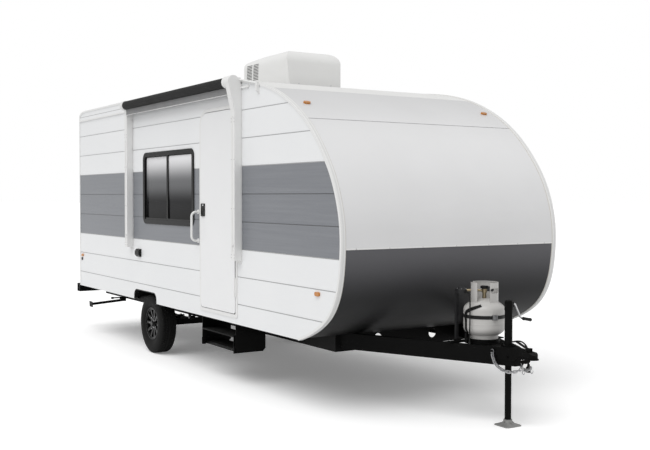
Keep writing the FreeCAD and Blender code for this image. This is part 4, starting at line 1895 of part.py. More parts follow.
def awning_arm(y0, top):
    """Outer channel with a long groove, and the narrower channel screwed to the wall behind it."""
    arm = block((ARM_OUT_X, ARM_FACE_X), (y0, y0 + ARM_WIDTH), (ARM_BOTTOM_Z, top))
    slot_y = (y0 + (ARM_WIDTH - ARM_SLOT) / 2, y0 + (ARM_WIDTH + ARM_SLOT) / 2)
    groove = block((ARM_OUT_X - OVERRUN, ARM_OUT_X + ARM_WALL), slot_y,
                   (ARM_BOTTOM_Z + ARM_WIDTH, top - ARM_HOOD_DROP - ARM_WIDTH))
    back_y = (y0 + ARM_WALL, y0 + ARM_WIDTH - ARM_WALL)
    back = block((ARM_FACE_X, -HALF_WIDTH), back_y,
                 (ARM_BOTTOM_Z - ARM_STEP, GUTTER_Z - GUTTER_HEIGHT / 2 - FACE_GAP))
    clip = block((ARM_FACE_X, -HALF_WIDTH), back_y,
                 (GUTTER_Z + GUTTER_HEIGHT / 2, GUTTER_Z + GUTTER_HEIGHT / 2 + ARM_CLIP))
    return fuse_all([arm.cut(groove), back, clip])


def awning_hood():
    """Teardrop cap over the front end of the roller."""
    y0 = AWNING_FRONT_Y
    drum = rod((-ROLLER_X, y0, ROLLER_Z), (-ROLLER_X, y0 + ARM_WIDTH, ROLLER_Z), ARM_HOOD_RADIUS)
    foot = ROLLER_Z - ARM_HOOD_DROP
    taper = [(-ROLLER_X - ARM_HOOD_RADIUS, ROLLER_Z), (ARM_OUT_X, foot), (ARM_FACE_X, foot),
             (ARM_FACE_X, ROLLER_Z)]
    return fuse_all([drum, prism(taper, ("y", ARM_WIDTH), y0)])


def awning_brace():
    """Tie from the front arm's head forward to a bracket on the wall, under the roof's edge."""
    x = ARM_FACE_X - BRACE_RADIUS
    end_y = AWNING_FRONT_Y - BRACE_LENGTH
    edge_z = nose_z(end_y)
    bar = rod((x, AWNING_FRONT_Y + BRACE_RADIUS, ARM_TOP_Z - 2 * BRACE_RADIUS), (x, end_y, edge_z),
              BRACE_RADIUS)
    out = -HALF_WIDTH - TRIM_PROUD - FACE_GAP
    step = nose_z(end_y - 2 * BRACE_RADIUS) - 2 * TRIM_FLANGE
    outline = [(-HALF_WIDTH, step - BRACE_FOOT), (-HALF_WIDTH, step), (out, step),
               (out, edge_z + BRACE_RADIUS),
               (x - BRACE_RADIUS, edge_z + BRACE_RADIUS), (x - BRACE_RADIUS, step - BRACE_FOOT / 2)]
    return [bar, prism(outline, ("y", 3 * BRACE_RADIUS), end_y - 2 * BRACE_RADIUS)]


def roller_span():
    """Front and rear ends of the roller: it starts behind the front housing and ends over the rear arm."""
    return AWNING_FRONT_Y + ARM_WIDTH + ROLLER_CAP_LENGTH, AWNING_REAR_Y


def awning_roller():
    """Roller with the fabric wound on it, its rear end cap and the flap that hangs below it."""
    y0, y1 = roller_span()
    drum = rod((-ROLLER_X, y0, ROLLER_Z), (-ROLLER_X, y1, ROLLER_Z), ROLLER_RADIUS)
    cap = rod((-ROLLER_X, y1 - ROLLER_END, ROLLER_Z), (-ROLLER_X, y1, ROLLER_Z), ROLLER_CAP_RADIUS)
    flap = block((-ROLLER_X, -ROLLER_X + VALANCE_THICK), (y0, y1 - ARM_WIDTH),
                 (ROLLER_Z - ROLLER_RADIUS - VALANCE_DROP, ROLLER_Z))
    return fuse_all([drum, cap, flap])


def awning_arms():
    """Front arm with its hood, housing and tie; rear arm with the cradle that holds the roller's end."""
    y0 = AWNING_FRONT_Y + ARM_WIDTH
    housing = rod((-ROLLER_X, y0, ROLLER_Z), (-ROLLER_X, y0 + ROLLER_CAP_LENGTH, ROLLER_Z), ROLLER_CAP_RADIUS)
    front = fuse_all([awning_arm(AWNING_FRONT_Y, ARM_TOP_Z), awning_hood(), housing] + awning_brace())
    rear_y = AWNING_REAR_Y - ARM_WIDTH
    below = ROLLER_Z - ROLLER_CAP_RADIUS - FACE_GAP
    cradle = block((-ROLLER_X + ROLLER_CAP_RADIUS + FACE_GAP, ARM_FACE_X), (rear_y, AWNING_REAR_Y),
                   (below - ARM_WIDTH, ARM_TOP_Z))
    return group([front, fuse_all([awning_arm(rear_y, below), cradle])])


# Lamps and small fittings

def lens(face_x):
    """Long oval lens that stands off a face across X, at the origin."""
    radius = MARKER_HEIGHT / 2 - FACE_GAP
    return rounded_block((face_x - MARKER_PROUD, face_x), (-MARKER_LENGTH / 2, MARKER_LENGTH / 2),
                         (-MARKER_HEIGHT / 2, MARKER_HEIGHT / 2), radius, radius)


def front_markers():
    """Lenses on the slope of the nose, tilted with it."""
    low, high = (vec(0, nose_y(z), z) for z in (MARKER_Z - MARKER_HEIGHT, MARKER_Z + MARKER_HEIGHT))
    tilt = math.degrees(math.atan2(high.y - low.y, high.z - low.z))
    lamps = []
    for side in (-1, 1):
        lamp = fuse_all([lens(0), lens(MARKER_PROUD)])
        lamp.rotate(vec(0, 0, 0), UP, 90)
        lamp.rotate(vec(0, 0, 0), ACROSS, -tilt)
        lamp.translate(vec(side * MARKER_X, nose_y(MARKER_Z), MARKER_Z))
        lamps.append(lamp.cut(body_form(0, (-HALF_WIDTH, HALF_WIDTH))))
    return lamps


def side_markers():
    lamps = []
    for y in (SIDE_MARKER_Y, REAR_MARKER_Y):
        lamp = lens(-HALF_WIDTH)
        lamp.translate(vec(0, y, SIDE_MARKER_Z))
        lamps += [lamp, mirrored(lamp)]
    return lamps


def tail_lamps():
    """Rounded lamp blocks low on the rear wall."""
    lamp = rounded_block((0, TAIL_LAMP_PROUD), (-TAIL_LAMP_WIDTH / 2, TAIL_LAMP_WIDTH / 2),
                         (TAIL_LAMP_Z - TAIL_LAMP_HEIGHT / 2, TAIL_LAMP_Z + TAIL_LAMP_HEIGHT / 2),
                         TAIL_LAMP_RADIUS, TAIL_LAMP_RADIUS)
    lamp.rotate(vec(0, 0, 0), UP, 90)
    lamp.translate(vec(-TAIL_LAMP_X, BODY_LENGTH, 0))
    return group([lamp, mirrored(lamp)])


def outlet_box():
    """Outdoor socket cover with a sloping hood."""
    half_y, half_z = OUTLET_WIDTH / 2, OUTLET_HEIGHT / 2
    face = -HALF_WIDTH
    outline = [(face, OUTLET_Z - half_z), (face - OUTLET_PROUD / 2, OUTLET_Z - half_z),
               (face - OUTLET_PROUD, OUTLET_Z - half_z + OUTLET_HOOD),
               (face - OUTLET_PROUD, OUTLET_Z + half_z - OUTLET_HOOD),
               (face - OUTLET_PROUD / 2, OUTLET_Z + half_z), (face, OUTLET_Z + half_z)]
    return prism(outline, ("y", OUTLET_WIDTH), OUTLET_Y - half_y)


def side_port():
    return rod((-HALF_WIDTH, PORT_Y, PORT_Z), (-HALF_WIDTH - PORT_PROUD, PORT_Y, PORT_Z), PORT_RADIUS)


def all_pieces():
    """Every sub-part by its node name."""
    leaf_hinges, frame_hinges = door_hinges()
    chain, rail, leg, stab = safety_chain(), main_rail(), tongue_rail(), stab_leg()
    window, panes = window_frame(), window_panes()
    pieces = {
        "side_wall_door_side": side_wall(True),
        "side_wall_far_side": mirrored(side_wall(False)),
        "front_panel_upper": front_panel_upper(),
        "front_panel_lower": front_panel_lower(),
        "roof": roof(),
        "rear_wall": rear_wall(),
        "floor": floor(),
        "wheel_wells": wheel_wells(),
        "mouldings": mouldings(),
        "door_frame": fuse_all([door_frame()] + frame_hinges),
        "entry_door": fuse_all([entry_door()] + leaf_hinges),
        "door_latch": door_latch(),
        "grab_handle": grab_handle(),
        "window_frames": group([window, mirrored(window)]),
        "window_glass": group(panes + [mirrored(pane) for pane in panes]),
        "main_rails": group([rail, mirrored(rail)]),
        "cross_members": group(cross_members() + outriggers()),
        "front_cross_plate": front_cross_plate(),
        "tongue_rail_door_side": leg,
        "tongue_rail_far_side": mirrored(leg),
        "gas_tray": gas_tray(),
        "coupler": coupler(),
        "jack_tube": jack_tube(),
        "jack_crank": fuse_all([jack_crank(), jack_grip()]),
        "jack_leg": jack_leg(),
        "jack_foot": jack_foot(),
        "gas_bottle": fuse_all([gas_bottle(), gas_collar()]),
        "gas_strap": gas_strap(),
        "gas_valve": gas_valve(),
        "gas_regulator": gas_regulator(),
        "gas_hose": swept(GAS_HOSE_ROUTE, GAS_HOSE_DIAMETER, BEND_SHARE),
        "tow_cable": swept(TOW_CABLE_ROUTE, TOW_CABLE_DIAMETER, BEND_SHARE),
        "tow_plug": tow_plug(),
        "cord_glands": group([cable_gland(), hose_union()]),
        "safety_chains": group([chain, mirrored(chain)]),
        "axle_beam": axle_beam(),
        "leaf_springs": leaf_springs(),
        "frame_brackets": group(spring_hangers() + stab_brackets()),
        "rear_bumper": rear_bumper(),
        "step_frame": step_frame(),
        "step_carriage": step_carriage(),
        "step_tread": step_tread(),
        "stab_leg_door_side": stab,
        "stab_leg_far_side": mirrored(stab),
        "air_conditioner": air_conditioner(),
        "roof_vent": roof_vent(),
        "vent_lid": vent_lid(),
        "awning_arms": awning_arms(),
        "awning_roller": awning_roller(),
        "marker_lamps": group(front_markers() + side_markers()),
        "tail_lamps": tail_lamps(),
        "wall_fittings": group([outlet_box(), side_port()]),
    }
    wheel_parts = {"tyre": tyre(), "wheel": fuse_all([rim(), hub(), hub_cap()])}
    for name, shape in wheel_parts.items():
        pieces[name + "_door_side"] = shape
        pieces[name + "_far_side"] = mirrored(shape)
    return pieces


def write_parts():
    os.makedirs("parts", exist_ok=True)
    for name, shape in all_pieces().items():
        shape.translate(vec(-X_MIDDLE, -Y_MIDDLE, 0))
        shape.exportStep("parts/" + name + ".step")


if __name__ == "__main__":
    write_parts()
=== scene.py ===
import math

import bmesh
import bpy
import numpy as np
from mathutils import Matrix, Vector
from mathutils.bvhtree import BVHTree


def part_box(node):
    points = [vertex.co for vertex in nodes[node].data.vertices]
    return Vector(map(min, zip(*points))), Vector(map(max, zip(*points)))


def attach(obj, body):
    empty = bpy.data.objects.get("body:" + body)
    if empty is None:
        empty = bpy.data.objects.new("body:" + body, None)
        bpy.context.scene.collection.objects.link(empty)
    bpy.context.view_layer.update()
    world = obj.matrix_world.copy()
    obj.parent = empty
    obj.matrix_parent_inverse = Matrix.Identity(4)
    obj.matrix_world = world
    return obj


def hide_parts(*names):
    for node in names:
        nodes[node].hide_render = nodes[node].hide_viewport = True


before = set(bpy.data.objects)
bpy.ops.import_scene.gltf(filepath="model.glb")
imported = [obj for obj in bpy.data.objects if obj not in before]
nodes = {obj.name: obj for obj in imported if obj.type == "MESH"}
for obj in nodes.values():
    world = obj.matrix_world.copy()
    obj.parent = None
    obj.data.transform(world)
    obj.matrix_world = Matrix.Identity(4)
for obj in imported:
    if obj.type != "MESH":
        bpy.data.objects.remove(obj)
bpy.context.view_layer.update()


# Camera and studio
# The caravan stands level on a white floor. The camera is at a standing person's eye height
# beyond the coupler on the door side, and a broad soft sun comes from high on that side. Sizes
# of pieces are millimetres in this file, and those of finishes are metres.

JACK_Y = -588
foot_low, foot_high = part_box("jack_foot")
MIDDLE_X = (foot_low.x + foot_high.x) / 2
NOSE_Y = (foot_low.y + foot_high.y) / 2 - JACK_Y / 1000


def place(x, y, z):
    """Metres in the row frame, from x off the middle plane, y behind the nose and z above the ground."""
    return Vector((MIDDLE_X + x / 1000, NOSE_Y + y / 1000, z / 1000))


CAMERA_AT = (-4784, -5703, 1664)
CAMERA_YAW, CAMERA_PITCH, CAMERA_ROLL = 32.10, 1.71, 0.09
LENS, SENSOR_WIDTH, FAR_CLIP = 52.6, 36.0, 400.0

camera = bpy.data.objects.new("camera", bpy.data.cameras.new("camera"))
camera.data.lens = LENS
camera.data.sensor_width = SENSOR_WIDTH
camera.data.clip_end = FAR_CLIP
turn = (Matrix.Rotation(math.radians(-CAMERA_YAW), 4, "Z")
        @ Matrix.Rotation(math.radians(90 - CAMERA_PITCH), 4, "X")
        @ Matrix.Rotation(math.radians(CAMERA_ROLL), 4, "Z"))
camera.matrix_world = Matrix.Translation(place(*CAMERA_AT)) @ turn
bpy.context.scene.collection.objects.link(camera)
bpy.context.scene.camera = camera
bpy.context.scene.view_settings.view_transform = "Standard"


def emptied(tree):
    """Clears a node tree, and gives a function that adds a node with its links made and values set."""
    tree.nodes.clear()

    def add(kind, links=(), **values):
        node = tree.nodes.new("ShaderNode" + kind)
        for key, value in values.items():
            if key in node.inputs:
                node.inputs[key].default_value = value
            else:
                setattr(node, key, value)
        for socket, source in links:
            tree.links.new(source, node.inputs[socket])
        return node
    return add


def new_tree(name):
    """Material with an empty node tree, and the function that adds nodes to it."""
    material = bpy.data.materials.new(name)
    material.use_nodes = True
    return material, emptied(material.node_tree)


def blend(add, share, one, two):
    """Colour one * (1 - share) + two * share."""
    node = add("Mix", [("Factor", share)], data_type="RGBA")
    node.inputs[6].default_value, node.inputs[7].default_value = (*one, 1), (*two, 1)
    return node.outputs[2]


def put(name, form, material, body=None, sharp=0.6):
    """Piece from (points, faces), riding on a body; edges bent by more than sharp radians stay crisp."""
    points, faces = form
    mesh = bpy.data.meshes.new(name)
    spots = np.asarray(points, float) / 1000 + (MIDDLE_X, NOSE_Y, 0)
    mesh.from_pydata(spots.tolist(), [], faces)
    work = bmesh.new()
    work.from_mesh(mesh)
    bmesh.ops.recalc_face_normals(work, faces=work.faces)
    work.to_mesh(mesh)
    work.free()
    mesh.shade_smooth()
    mesh.set_sharp_from_angle(angle=sharp)
    mesh.materials.append(material)
    piece = bpy.data.objects.new(name, mesh)
    bpy.context.scene.collection.objects.link(piece)
    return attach(piece, body) if body else piece


FLOOR_REACH, FLOOR_CORNERS = 150000, ((-1, -1, 0), (3, -1, 0), (-1, 3, 0))
FLOOR_BOUNCE, FLOOR_SEEN, FLOOR_LIFT = (0.80, 0.80, 0.80), (1.0, 1.0, 1.0), 0.16
floor_paint, add = new_tree("studio_floor")
ray = add("LightPath")
seen = add("Math", [(0, ray.outputs["Is Camera Ray"]), (1, ray.outputs["Is Glossy Ray"])],
           operation="ADD", use_clamp=True)
seen = add("Math", [(0, seen.outputs[0]), (1, ray.outputs["Is Transmission Ray"])],
           operation="ADD", use_clamp=True)
strength = add("MapRange", [("Value", seen.outputs[0])], **{"To Max": FLOOR_LIFT})
tone = blend(add, ray.outputs["Is Camera Ray"], FLOOR_BOUNCE, FLOOR_SEEN)
bounce = add("BsdfDiffuse", [("Color", tone)])
lift = add("Emission", [("Strength", strength.outputs[0])], Color=(1, 1, 1, 1))
both = add("AddShader", [(0, bounce.outputs[0]), (1, lift.outputs[0])])
add("OutputMaterial", [("Surface", both.outputs[0])])
floor_piece = put("studio_floor", (np.multiply(FLOOR_CORNERS, FLOOR_REACH), [(0, 1, 2)]), floor_paint)

SKY_LEVEL = 0.65
world = bpy.data.worlds.new("studio")
world.use_nodes = True
bpy.context.scene.world = world
add = emptied(world.node_tree)
ray = add("LightPath")
seen = add("Math", [(0, ray.outputs["Is Camera Ray"]), (1, ray.outputs["Is Transmission Ray"])],
           operation="MAXIMUM")
level = add("MapRange", [("Value", seen.outputs[0])], **{"To Min": SKY_LEVEL})
sky = add("Background", [("Strength", level.outputs[0])], Color=(1, 1, 1, 1))
add("OutputWorld", [("Surface", sky.outputs[0])])

SUN_FROM, SUN_POWER, SUN_SPREAD = (-0.52, -0.20, 0.83), 1.50, 50.0
sun = bpy.data.objects.new("sun", bpy.data.lights.new("sun", "SUN"))
sun.data.energy = SUN_POWER
sun.data.angle = math.radians(SUN_SPREAD)
sun.rotation_euler = Vector(SUN_FROM).to_track_quat("Z", "Y").to_euler()
bpy.context.scene.collection.objects.link(sun)


# Tow cable and gas hose
# Black rubber leads: the cable hangs from its clip on the coupler to the plug,
# and the hose drops from the regulator into a union on the near tongue rail.

def finish(name, colour, other, rough, grain=(9, 9, 9), metal=0.0, coat=0.0, swing=0.08, lift=0.0,
           fine=(140, 140, 140), weight=0.5, gloss=0.5):
    """Finish that goes from one tone to another with a noise on object coordinates.

    Roughness is its level plus swing times the noise less a half. A finer noise of depth lift
    raises the surface, by the share that weight gives, and gloss is the level of its mirror.
    """
    material, add = new_tree(name)
    coords = add("TexCoord")
    broad = add("Mapping", [("Vector", coords.outputs["Object"])], Scale=grain)
    patches = add("TexNoise", [("Vector", broad.outputs[0])], Scale=1.0, Detail=5.0, Roughness=0.6)
    tone = blend(add, patches.outputs[0], colour, other)
    dull = add("MapRange", [("Value", patches.outputs[0])],
               **{"To Min": max(rough - swing / 2, 0.02), "To Max": rough + swing / 2})
    links = [("Base Color", tone), ("Roughness", dull.outputs[0])]
    if lift:
        small = add("Mapping", [("Vector", coords.outputs["Object"])], Scale=fine)
        pits = add("TexNoise", [("Vector", small.outputs[0])], Scale=1.0, Detail=3.0)
        relief = add("Bump", [("Height", pits.outputs[0])], Strength=weight, Distance=lift)
        links.append(("Normal", relief.outputs[0]))
    skin = add("BsdfPrincipled", links, Metallic=metal,
               **{"Coat Weight": coat, "Coat Roughness": 0.12, "Specular IOR Level": gloss})
    add("OutputMaterial", [("Surface", skin.outputs[0])])
    return material


def dress(material, *names):
    """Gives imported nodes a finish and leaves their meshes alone."""
    for name in names:
        for holder in nodes[name].material_slots:
            holder.material = material


rubber = finish("lead_rubber", (0.006, 0.006, 0.006), (0.014, 0.014, 0.013), 0.62, lift=0.0004,
                fine=(600, 600, 600), gloss=0.2)

TOW_CABLE = ((72, -520, 600), (72, -556, 600), (76, -595, 612), (86, -636, 613), (98, -668, 590),
             (106, -681, 549), (110, -682, 501), (110, -682, 454))
GAS_HOSE = ((-128, -256, 955), (-128, -286, 955), (-138, -317, 943), (-153, -341, 912), (-165, -355, 868),
            (-170, -360, 812), (-171, -361, 750), (-170, -359, 692), (-167, -354, 641), (-167, -354, 591))


def lead(name, route, diameter):
    """Round lead on a smooth curve whose control points are the route's points."""
    curve = bpy.data.curves.new(name, "CURVE")
    curve.dimensions = "3D"
    spline = curve.splines.new("NURBS")
    spline.points.add(len(route) - 1)
    for point, (x, y, z) in zip(spline.points, route):
        point.co = (*place(x, y, z), 1)
    spline.order_u = 3
    spline.use_endpoint_u = True
    curve.resolution_u = 8
    curve.bevel_depth = diameter / 2
    curve.bevel_resolution = 4
    curve.use_fill_caps = True
    curve.materials.append(rubber)
    piece = bpy.data.objects.new(name, curve)
    bpy.context.scene.collection.objects.link(piece)
    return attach(piece, "caravan")


tow_lead = lead("tow_lead", TOW_CABLE, 0.011)
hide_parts("tow_cable")
tuple(place(*TOW_CABLE[0]))
gas_lead = lead("gas_lead", GAS_HOSE, 0.010)
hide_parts("gas_hose")
tuple(place(*GAS_HOSE[0]))
# Black plastic for the real black parts; the same finish also serves the painted shadow sheets behind the
# hood's louvres.
black_plastic = finish("black_plastic", (0.006, 0.006, 0.006), (0.013, 0.013, 0.013), 0.42, lift=0.0003,
                       fine=(500, 500, 500), gloss=0.2)
dress(black_plastic, "tow_plug", "door_latch", "wall_fittings")


# Side walls
# White coated siding in courses, each with a shadow in its seam and a grain pressed along it.
# A grey band is printed on the courses between two of the seams, from nose to tail, and the
# inner faces are covered with a plain pale lining.

BAND_LOW, BAND_HIGH = 1.212, 1.920
SEAM_FIRST, SEAM_PITCH, SEAM_HEIGHT, SEAM_WIDE, SEAM_SHADE = 0.730, 0.2383, 0.007, 0.9, 0.50
LINING_EDGE, LINING = 1.040, (0.62, 0.60, 0.56)


def siding(name, white, white_other, grey, grey_other):
    """White, grey between two heights, and plain lining inside; long streaks follow the courses.

    The share of a course above its seam is (height - first seam) / pitch less its whole part, and the
    seam itself is darker.
    """
    material, add = new_tree(name)
    coords = add("TexCoord")
    long = add("Mapping", [("Vector", coords.outputs["Object"])], Scale=(2.0, 0.9, 40.0))
    streaks = add("TexNoise", [("Vector", long.outputs[0])], Scale=1.0, Detail=8.0, Roughness=0.66)
    fine = add("Mapping", [("Vector", coords.outputs["Object"])], Scale=(9.0, 14.0, 260.0))
    grain = add("TexNoise", [("Vector", fine.outputs[0])], Scale=1.0, Detail=4.0)
    broad = add("TexNoise", [("Vector", coords.outputs["Object"])], Scale=1.1, Detail=2.0)
    axes = add("SeparateXYZ", [("Vector", coords.outputs["Object"])])

    def reckoned(kind, source, value=0.0):
        """Socket with the result of one kind of sum on a source and a plain value."""
        node = add("Math", [(0, source)], operation=kind)
        node.inputs[1].default_value = value
        return node.outputs[0]

    height = axes.outputs["Z"]
    band = add("Math", [(0, reckoned("GREATER_THAN", height, BAND_LOW)),
                        (1, reckoned("LESS_THAN", height, BAND_HIGH))], operation="MULTIPLY")
    courses = reckoned("DIVIDE", reckoned("SUBTRACT", height, SEAM_FIRST - SEAM_HEIGHT / 4), SEAM_PITCH)
    in_seam = reckoned("LESS_THAN", reckoned("FRACT", courses), SEAM_WIDE * SEAM_HEIGHT / SEAM_PITCH)
    tone = add("Mix", [("Factor", band.outputs[0]), (6, blend(add, broad.outputs[0], white, white_other)),
                       (7, blend(add, streaks.outputs[0], grey, grey_other))], data_type="RGBA")
    shadow = add("VectorMath", [(0, tone.outputs[2])], operation="SCALE", Scale=SEAM_SHADE)
    shade = add("Mix", [("Factor", in_seam), (6, tone.outputs[2]), (7, shadow.outputs[0])], data_type="RGBA")
    off_middle = reckoned("ABSOLUTE", reckoned("SUBTRACT", axes.outputs["X"], MIDDLE_X))
    lined = add("Mix", [("Factor", reckoned("LESS_THAN", off_middle, LINING_EDGE)), (6, shade.outputs[2])],
                data_type="RGBA")
    lined.inputs[7].default_value = (*LINING, 1)
    dull = add("MapRange", [("Value", streaks.outputs[0])], **{"To Min": 0.24, "To Max": 0.44})
    pressed = add("Math", [(0, streaks.outputs[0]), (1, grain.outputs[0])], operation="ADD")
    relief = add("Bump", [("Height", pressed.outputs[0])], Strength=0.35, Distance=0.0016)
    skin = add("BsdfPrincipled", [("Base Color", lined.outputs[2]), ("Roughness", dull.outputs[0]),
                                  ("Normal", relief.outputs[0])])
    add("OutputMaterial", [("Surface", skin.outputs[0])])
    return material


wall_skin = siding("wall_siding", (0.78, 0.79, 0.80), (0.83, 0.835, 0.84),
                   (0.145, 0.153, 0.174), (0.245, 0.255, 0.272))
dress(wall_skin, "side_wall_door_side", "side_wall_far_side")
gloss_white = finish("smooth_white", (0.78, 0.785, 0.79), (0.83, 0.83, 0.835), 0.30, grain=(2, 2, 2),
                     coat=0.2, lift=0.0006, fine=(30, 30, 30), weight=0.2)
dress(gloss_white, "entry_door", "rear_wall")


# Nose panels
# Two smooth sheets bent over the front: pale above the belt, and below it charcoal. Both carry painted shade by
# height:
# the pale one is lightest about 2.1 m up and darker towards the roof and the belt, and the charcoal one darkens
# almost to black at the foot.

def falling(name, levels, rough, coat, grain=(1.6, 1.6, 1.6), spread=0.05, lift=0.0008, fine=(14, 14, 14),
            gloss=0.5):
    """Finish whose colour goes through (height, colour) levels, with a soft patchy swing in tone.

    Colour = level's colour at the point's height, times 1 - spread to 1 + spread by the noise.
    """
    material, add = new_tree(name)
    coords = add("TexCoord")
    axes = add("SeparateXYZ", [("Vector", coords.outputs["Object"])])
    low, high = levels[0][0], levels[-1][0]
    share = add("MapRange", [("Value", axes.outputs["Z"])], **{"From Min": low, "From Max": high})
    ramp = add("ValToRGB", [("Fac", share.outputs[0])])
    ramp.color_ramp.interpolation = "EASE"
    for i, (height, colour) in enumerate(levels):
        at = (height - low) / (high - low)
        stop = ramp.color_ramp.elements[0] if i == 0 else (
            ramp.color_ramp.elements[-1] if i == len(levels) - 1 else ramp.color_ramp.elements.new(at))
        stop.position = at
        stop.color = (*colour, 1)
    broad = add("Mapping", [("Vector", coords.outputs["Object"])], Scale=grain)
    patches = add("TexNoise", [("Vector", broad.outputs[0])], Scale=1.0, Detail=3.0)
    weight = add("MapRange", [("Value", patches.outputs[0])], **{"To Min": 1 - spread, "To Max": 1 + spread})
    tone = add("VectorMath", [(0, ramp.outputs[0]), ("Scale", weight.outputs[0])], operation="SCALE")
    small = add("Mapping", [("Vector", coords.outputs["Object"])], Scale=fine)
    waves = add("TexNoise", [("Vector", small.outputs[0])], Scale=1.0, Detail=2.0)
    relief = add("Bump", [("Height", waves.outputs[0])], Strength=0.25, Distance=lift)
    skin = add("BsdfPrincipled", [("Base Color", tone.outputs[0]), ("Normal", relief.outputs[0])],
               Roughness=rough, **{"Coat Weight": coat, "Coat Roughness": 0.10, "Specular IOR Level": gloss})
    add("OutputMaterial", [("Surface", skin.outputs[0])])
    return material


# Painted shade: the pale panel's colour changes with height, lightest at 2.10 m and darker towards the roof and
# the belt.
pale_front_painted_shade = falling("pale_front_painted_shade", ((1.28, (0.70, 0.70, 0.705)), (2.10, (0.74, 0.74, 0.745)),
                                    (2.70, (0.58, 0.58, 0.585))), 0.30, 0.3)
# Painted shade: the charcoal panel's colour darkens from 1.29 m down almost to black at its foot.
dark_front_painted_shade = falling("charcoal_front_painted_shade", ((0.57, (0.003, 0.003, 0.003)), (0.86, (0.026, 0.026, 0.027)),
                                        (1.29, (0.118, 0.117, 0.125))), 0.38, 0.0, gloss=0.12)
dress(pale_front_painted_shade, "front_panel_upper")
dress(dark_front_painted_shade, "front_panel_lower")


# Mouldings
# White corner trims cover the joints of walls, nose and roof; a soft strip is pressed into
# their channel over the screws. Pan-head screws hold the belt across the front.

white_mould = finish("white_moulding", (0.74, 0.74, 0.735), (0.80, 0.80, 0.79), 0.38, grain=(5, 5, 5),
                     lift=0.0004, fine=(220, 220, 220))
dress(white_mould, "mouldings", "door_frame", "grab_handle", "awning_arms")


def webbed(points, around=True, along=False, capped=True):
    """Quads between neighbours in a grid of points, which may close round either way or be capped."""
    rows, columns = points.shape[:2]
    row = np.arange(rows if along else rows - 1)[:, None]
    column = np.arange(columns if around else columns - 1)[None, :]
    next_row, next_column = (row + 1) % rows * columns, (column + 1) % columns
    row = row * columns
    quads = np.stack([row + column, row + next_column, next_row + next_column, next_row + column], -1)
    faces = quads.reshape(-1, 4).tolist()
    if capped:
        faces += [list(range(columns)), list(range((rows - 1) * columns, rows * columns))]
    return points.reshape(-1, 3), faces


def merged(forms):
    """Several forms as one, each one's faces moved on by the points before it."""
    starts = np.cumsum([0] + [len(points) for points, _ in forms]).tolist()
    return (np.concatenate([points for points, _ in forms]),
            [[i + start for i in face] for (_, faces), start in zip(forms, starts) for face in faces])


def lathe(profile, at, axis, sides=20):
    """Point = at + axis * along + radius * (side * cos turn + other * sin turn), over profile and turn."""
    way = Vector(axis).normalized()
    side = way.orthogonal().normalized()
    other = way.cross(side)
    turn = np.linspace(0, 2 * np.pi, sides, endpoint=False)[:, None]
    ring = np.cos(turn) * np.array(side) + np.sin(turn) * np.array(other)
    along, radius = np.array(profile, float).T[:, :, None, None]
    return webbed(np.array(at, float) + along * np.array(way) + radius * ring)


def carried(path, outs, profile, closed=False):
    """Loop of (across, out) carried along a path: point = path + across * (tangent x normal) + out * normal."""
    path, outs, profile = np.array(path, float), np.array(outs, float), np.array(profile, float)
    ahead = np.roll(path, -1, 0) - np.roll(path, 1, 0)
    if not closed:
        ahead[0], ahead[-1] = path[1] - path[0], path[-1] - path[-2]
    across = np.cross(ahead, outs)
    across /= np.linalg.norm(across, axis=1)[:, None]
    points = path[:, None] + across[:, None] * profile[None, :, :1] + outs[:, None] * profile[None, :, 1:]
    return webbed(points, around=True, along=closed, capped=not closed)


def seats(name, starts, toward, faces_back=0.0):
    """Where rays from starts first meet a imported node, with the normals there turned towards the rays.

    A meeting is left out where cos of the angle between its normal and the ray is under faces_back.
    """
    mesh = nodes[name].data
    spots = np.empty(3 * len(mesh.vertices), np.float32)
    mesh.vertices.foreach_get("co", spots)
    corners = np.empty(len(mesh.loops), np.int32)
    mesh.loops.foreach_get("vertex_index", corners)
    tree = BVHTree.FromPolygons(spots.reshape(-1, 3).tolist(), corners.reshape(-1, 3).tolist())
    lines = [toward] * len(starts) if np.ndim(toward) == 1 else toward
    found = []
    for start, line in zip(starts, lines):
        hit, normal, _, _ = tree.ray_cast(place(*start), Vector(line))
        if hit is not None:
            normal = -normal if normal.dot(Vector(line)) > 0 else normal
            if -normal.dot(Vector(line)) > faces_back:
                at = (hit.x - MIDDLE_X) * 1000, (hit.y - NOSE_Y) * 1000, hit.z * 1000
                found.append((at, tuple(normal)))
    return found


def pan_screw(at, axis, radius):
    """Domed head with a sunken round drive; its profile is in shares of the head's radius."""
    profile = ((-0.15, 1.0), (0.10, 1.0), (0.42, 0.86), (0.62, 0.56), (0.66, 0.34), (0.40, 0.26),
               (0.38, 0.05))
    return lathe(np.array(profile) * radius, at, axis, 12)


def hex_bolt(at, axis, across, height, washer=1.2):
    """Round washer, six-sided head with its top turned down, and the thread's end standing out of it."""
    radius = across / 2
    ring = lathe([(-0.5, 1.25 * radius), (washer, 1.25 * radius), (washer * 1.2, 1.15 * radius)],
                 at, axis, 18)
    head = lathe([(washer, 0.97 * radius), (washer + 0.1 * height, radius), (washer + 0.8 * height, radius),
                  (washer + height, 0.80 * radius)], at, axis, 6)
    stud = lathe([(washer + 0.9 * height, 0.5 * radius), (washer + 1.3 * height, 0.5 * radius),
                  (washer + 1.45 * height, 0.36 * radius)], at, axis, 12)
    return merged([ring, head, stud])


